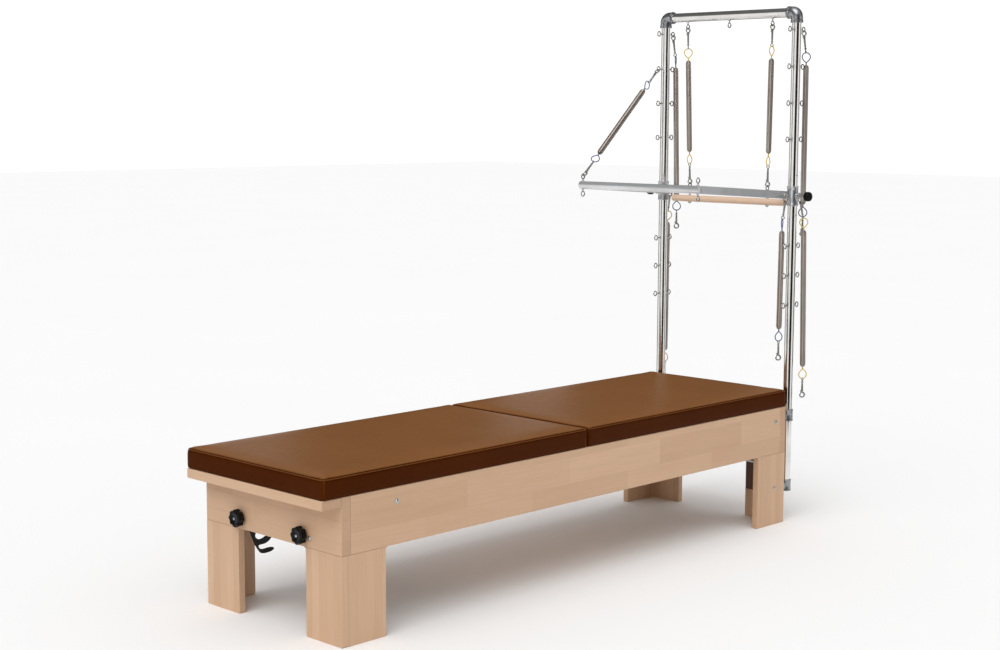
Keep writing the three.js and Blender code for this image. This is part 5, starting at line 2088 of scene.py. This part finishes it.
@dataclass
class Springs:
    """Every spring: five hanging free, one on the bar, two on the dowel and four under the carriage."""

    finishes: Finishes
    x: float = 341.6
    front: float = 2417.0
    back: float = 2513.0
    top: float = 2049.0
    sleeve: float = 1368.0
    free_hook: float = 102.0
    hook: float = 110.0

    def build(self) -> None:
        """Builds all the springs."""
        kit = SpringKit(self.finishes)
        for spring in [*self.free(), *self.held()]:
            spring.build(kit)
        self.gear()

    def free(self) -> list[HungSpring]:
        """The five springs that hang from one eye, each ending in a loose snap hook."""
        x, back, front, top, sleeve = self.x, self.back, self.front, self.top, self.sleeve
        rows = [
            (
                "arm_spring_left", (-x, back, top), (-x + 18, back, 1939), (-x + 19, back + 22, 1297),
                Enamel.VIOLET, (120.0, 44.0),
            ),
            (
                "arm_spring_right", (x, back, top), (x, back + 25, 1939), (x, back + 28, 1297),
                Enamel.VIOLET, (50.0, 44.0),
            ),
            (
                "leg_spring_left_back", (-x, back, sleeve), (-x - 16, back + 4, 1258),
                (-x - 20, back + 4, 616), Enamel.YELLOW, (44.0, 80.0),
            ),
            (
                "leg_spring_right_front", (x, front, sleeve), (x - 17, front + 2, 1258),
                (x - 17, front - 4, 783), Enamel.BLUE, (115.0, 70.0),
            ),
            (
                "leg_spring_right_back", (x, back, sleeve), (x + 20, back + 8, 1258),
                (x + 21, back + 26, 616), Enamel.YELLOW, (50.0, 60.0),
            ),
        ]
        springs = []
        for name, eye, upper, lower, enamel, faces in rows:
            end = (lower[0], lower[1], lower[2] - self.free_hook)
            springs.append(HungSpring(name, eye, upper, lower, enamel, end, (name, name), (name,), faces))
        return springs

    def held(self) -> list[HungSpring]:
        """The springs that run between two eyes: one to the bar and two to the dowel."""
        runs = [
            (
                "bar_spring", (-self.x, self.front, 1898), (-300, 1881, 1445), Enamel.BLUE,
                ("bar_spring", "bar_spring_end"), ("bar_spring", "bar_spring_hook"), (100.0, 20.0),
            ),
            (
                "roll_down_spring_left", (-221, 2465, 2076.5), (-205, 2477, 1397), Enamel.YELLOW,
                ("roll_down_springs", "roll_down_bar"), ("roll_down_spring_left",), (44.0, 92.0),
            ),
            (
                "roll_down_spring_right", (221, 2465, 2076.5), (205, 2477, 1397), Enamel.YELLOW,
                ("roll_down_springs", "roll_down_bar"), ("roll_down_spring_right",), (92.0, 100.0),
            ),
        ]
        springs = []
        for name, high, low, enamel, bodies, nodes, faces in runs:
            axis = unit(np.array(low, float) - np.array(high, float))
            upper, lower = np.array(high) + axis * self.hook, np.array(low) - axis * self.hook
            springs.append(
                HungSpring(name, high, tuple(upper), tuple(lower), enamel, low, bodies, nodes, faces)
            )
        return springs

    def gear(self) -> None:
        """The carriage's own springs: thicker coils from the studs on the spring bar to the carriage."""
        thick = SpringKit(self.finishes, coil_radius=11.2, wire=1.75, pitch=3.52, tip_radius=3.2, tip=20.0)
        for number, x in enumerate((-150.0, -50.0, 50.0, 150.0), start=1):
            start, end = (x, 146.3, 395.0), (x, 739.7, 395.0)
            skin = thick.coil(Skin(), start, end, inset=24.0)
            for place, way in ((start, 1.0), (end, -1.0)):
                tail = np.array(place) + [0, way * 0.5, 0]
                skin.grid(rod([tail, tail + [0, way * 34.0, 0]], 2.6, Axis.Z.value, 12))
            piece = skin.mesh(f"gear_spring_{number}_coil")
            finished(piece, "", self.finishes.coil, (f"gear_spring_{number}",), 60.0)
            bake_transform(piece)


# ---------------------------------------------------------------- studio
@dataclass
class Studio:
    """The camera, the pale floor and the soft lights."""

    azimuth: float = 44.32
    elevation: float = 7.06
    roll: float = 0.22
    lens: float = 61.02
    place: Point = (4.38729, -4.64631, 1.69611)
    sky_power: float = 0.62
    tower_y: float = 1.227
    flags: tuple[tuple[float, float, float], ...] = (
        (-136.0, 2.5, 1.2), (-98.0, 2.5, 1.4), (-20.0, 3.6, 1.1), (64.0, 2.5, 2.3), (140.0, 2.5, 1.1),
    )
    flag_height: float = 3.4

    def camera(self) -> None:
        """Sets the camera from its azimuth, elevation and roll."""
        a, e, r = (math.radians(v) for v in (self.azimuth, self.elevation, self.roll))
        back = Vector((math.sin(a) * math.cos(e), -math.cos(a) * math.cos(e), math.sin(e)))
        right = Vector((math.cos(a), math.sin(a), 0.0))
        up = back.cross(right)
        right, up = right * math.cos(r) + up * math.sin(r), up * math.cos(r) - right * math.sin(r)
        data = bpy.data.cameras.new("camera")
        data.lens, data.sensor_width = self.lens, 36.0
        data.clip_end = 100.0
        camera = bpy.data.objects.new("camera", data)
        columns = Matrix((right, up, back)).transposed().to_4x4()
        camera.matrix_world = Matrix.Translation(self.place) @ columns
        bpy.context.scene.collection.objects.link(camera)
        bpy.context.scene.camera = camera

    def floor(self) -> None:
        """A wide pale floor."""
        edge = np.array([-1.0, 1.0]) * 40.0
        x, y = np.meshgrid(edge, edge, indexing="ij")
        mesh = bpy.data.meshes.new("floor")
        points = np.stack([x, y, np.zeros_like(x)], axis=-1).reshape(-1, 3)
        mesh.from_pydata(points.tolist(), [], [[0, 2, 3, 1]])
        floor = bpy.data.objects.new("floor", mesh)
        recipe = Recipe("pale floor")
        mottle = recipe.noise(recipe.coordinates.outputs["Object"], 0.7, 2.0)
        colour = recipe.blend(mottle, (0.93, 0.93, 0.93, 1.0), (0.95, 0.95, 0.95, 1.0))
        mesh.materials.append(recipe.dress(Base_Color=colour, Roughness=0.9, Specular_IOR_Level=0.1))
        bpy.context.scene.collection.objects.link(floor)

    def flag(self, number: int, azimuth: float, distance: float, width: float) -> None:
        """A black upright panel that only polished metal sees: it draws the dark lines down the tubes.

        Args:
            number: Its number.
            azimuth: Degrees from -Y towards +X, seen from the tower.
            distance: Metres from the tower.
            width: Its width in metres.
        """
        a = math.radians(azimuth)
        middle = np.array([distance * math.sin(a), self.tower_y - distance * math.cos(a), 0.01])
        side = np.array([math.cos(a), math.sin(a), 0.0]) * width / 2
        rise = np.array([0.0, 0.0, self.flag_height])
        mesh = bpy.data.meshes.new(f"flag_{number}")
        corners = [middle - side, middle + side, middle + side + rise, middle - side + rise]
        mesh.from_pydata([corner.tolist() for corner in corners], [], [[0, 1, 2, 3]])
        recipe = Recipe(f"black cloth {number}")
        weave = recipe.noise(recipe.coordinates.outputs["Object"], 40.0, 3.0)
        mesh.materials.append(recipe.dress(
            Base_Color=recipe.blend(
                weave, (0.02, 0.02, 0.02, 1.0), (0.03, 0.028, 0.026, 1.0)
            ), Roughness=1.0, Specular_IOR_Level=0.0
        ))
        panel = bpy.data.objects.new(mesh.name, mesh)
        panel.visible_camera = panel.visible_diffuse = False
        panel.visible_shadow = panel.visible_transmission = False
        bpy.context.scene.collection.objects.link(panel)

    def sky(self) -> None:
        """A white sky whose ceiling is dim for polished metal alone; the height is the direction's Z."""
        world = bpy.data.worlds.new("studio")
        bpy.context.scene.world = world
        world.use_nodes = True
        tree = world.node_tree
        link = tree.links.new
        white = tree.nodes["Background"]
        white.inputs[0].default_value = (1.0, 1.0, 1.0, 1.0)
        white.inputs[1].default_value = self.sky_power
        split = tree.nodes.new("ShaderNodeSeparateXYZ")
        link(tree.nodes.new("ShaderNodeTexCoord").outputs["Generated"], split.inputs[0])
        ceiling = self.ramp(tree, ((0.0, 1.0), (0.17, 1.0), (0.28, 0.18), (0.8, 0.12), (0.95, 0.7)))
        link(split.outputs[2], ceiling.inputs[0])
        backdrop = tree.nodes.new("ShaderNodeBackground")
        backdrop.inputs[0].default_value = (1.0, 1.0, 1.0, 1.0)
        backdrop.inputs[1].default_value = 1.05
        studio = tree.nodes.new("ShaderNodeBackground")
        link(ceiling.outputs[0], studio.inputs[0])
        rays = tree.nodes.new("ShaderNodeLightPath")
        under, seen = white, (
            (rays.outputs["Is Camera Ray"], backdrop), (rays.outputs["Is Glossy Ray"], studio)
        )
        for ray, light in seen:
            mixer = tree.nodes.new("ShaderNodeMixShader")
            link(ray, mixer.inputs[0])
            link(under.outputs[0], mixer.inputs[1])
            link(light.outputs[0], mixer.inputs[2])
            under = mixer
        link(under.outputs[0], tree.nodes["World Output"].inputs[0])

    def ramp(self, tree: bpy.types.NodeTree, stops: tuple[tuple[float, float], ...]) -> bpy.types.Node:
        """Adds a grey ramp to a tree.

        Args:
            tree: The node tree.
            stops: Places and grey levels.

        Returns:
            The ramp's node.
        """
        made = tree.nodes.new("ShaderNodeValToRGB")
        elements = made.color_ramp.elements
        elements[0].position, elements[0].color = stops[0][0], (stops[0][1],) * 3 + (1.0,)
        elements[1].position, elements[1].color = stops[-1][0], (stops[-1][1],) * 3 + (1.0,)
        for place, level in stops[1:-1]:
            elements.new(place).color = (level, level, level, 1.0)
        return made

    def sun(self, name: str, azimuth: float, elevation: float, power: float, softness: float) -> None:
        """Adds a broad, even light from one direction.

        Args:
            name: Its name.
            azimuth: Degrees from -Y towards +X.
            elevation: Degrees above the floor.
            power: Its strength.
            softness: The angle that it fills, in degrees.
        """
        data = bpy.data.lights.new(name, "SUN")
        data.energy, data.angle = power, math.radians(softness)
        lamp = bpy.data.objects.new(name, data)
        a, e = math.radians(azimuth), math.radians(elevation)
        towards = Vector((math.sin(a) * math.cos(e), -math.cos(a) * math.cos(e), math.sin(e)))
        lamp.rotation_euler = towards.to_track_quat("Z", "Y").to_euler()
        bpy.context.scene.collection.objects.link(lamp)

    def build(self) -> None:
        """Sets up the camera, the floor, the sky and the lights."""
        self.camera()
        self.floor()
        for number, (azimuth, distance, width) in enumerate(self.flags, start=1):
            self.flag(number, azimuth, distance, width)
        self.sky()
        bpy.context.scene.view_settings.view_transform = "Standard"
        self.sun("key light", 18.0, 52.0, 1.5, 50.0)
        self.sun("side light", 95.0, 45.0, 0.22, 60.0)


def main() -> None:
    """Builds the machine from the floor up."""
    logging.basicConfig(level=logging.INFO, format="%(name)s: %(message)s")
    Studio().build()
    finishes = Finishes()
    for assembly in (
        WoodenFrame(finishes), Mats(finishes), Bed(finishes), FootHardware(finishes), Tower(finishes),
        PushBar(finishes), RollDownBar(finishes), Springs(finishes),
    ):
        log.info("building the %s", type(assembly).__name__)
        assembly.build()


if __name__ == "__main__":
    main()
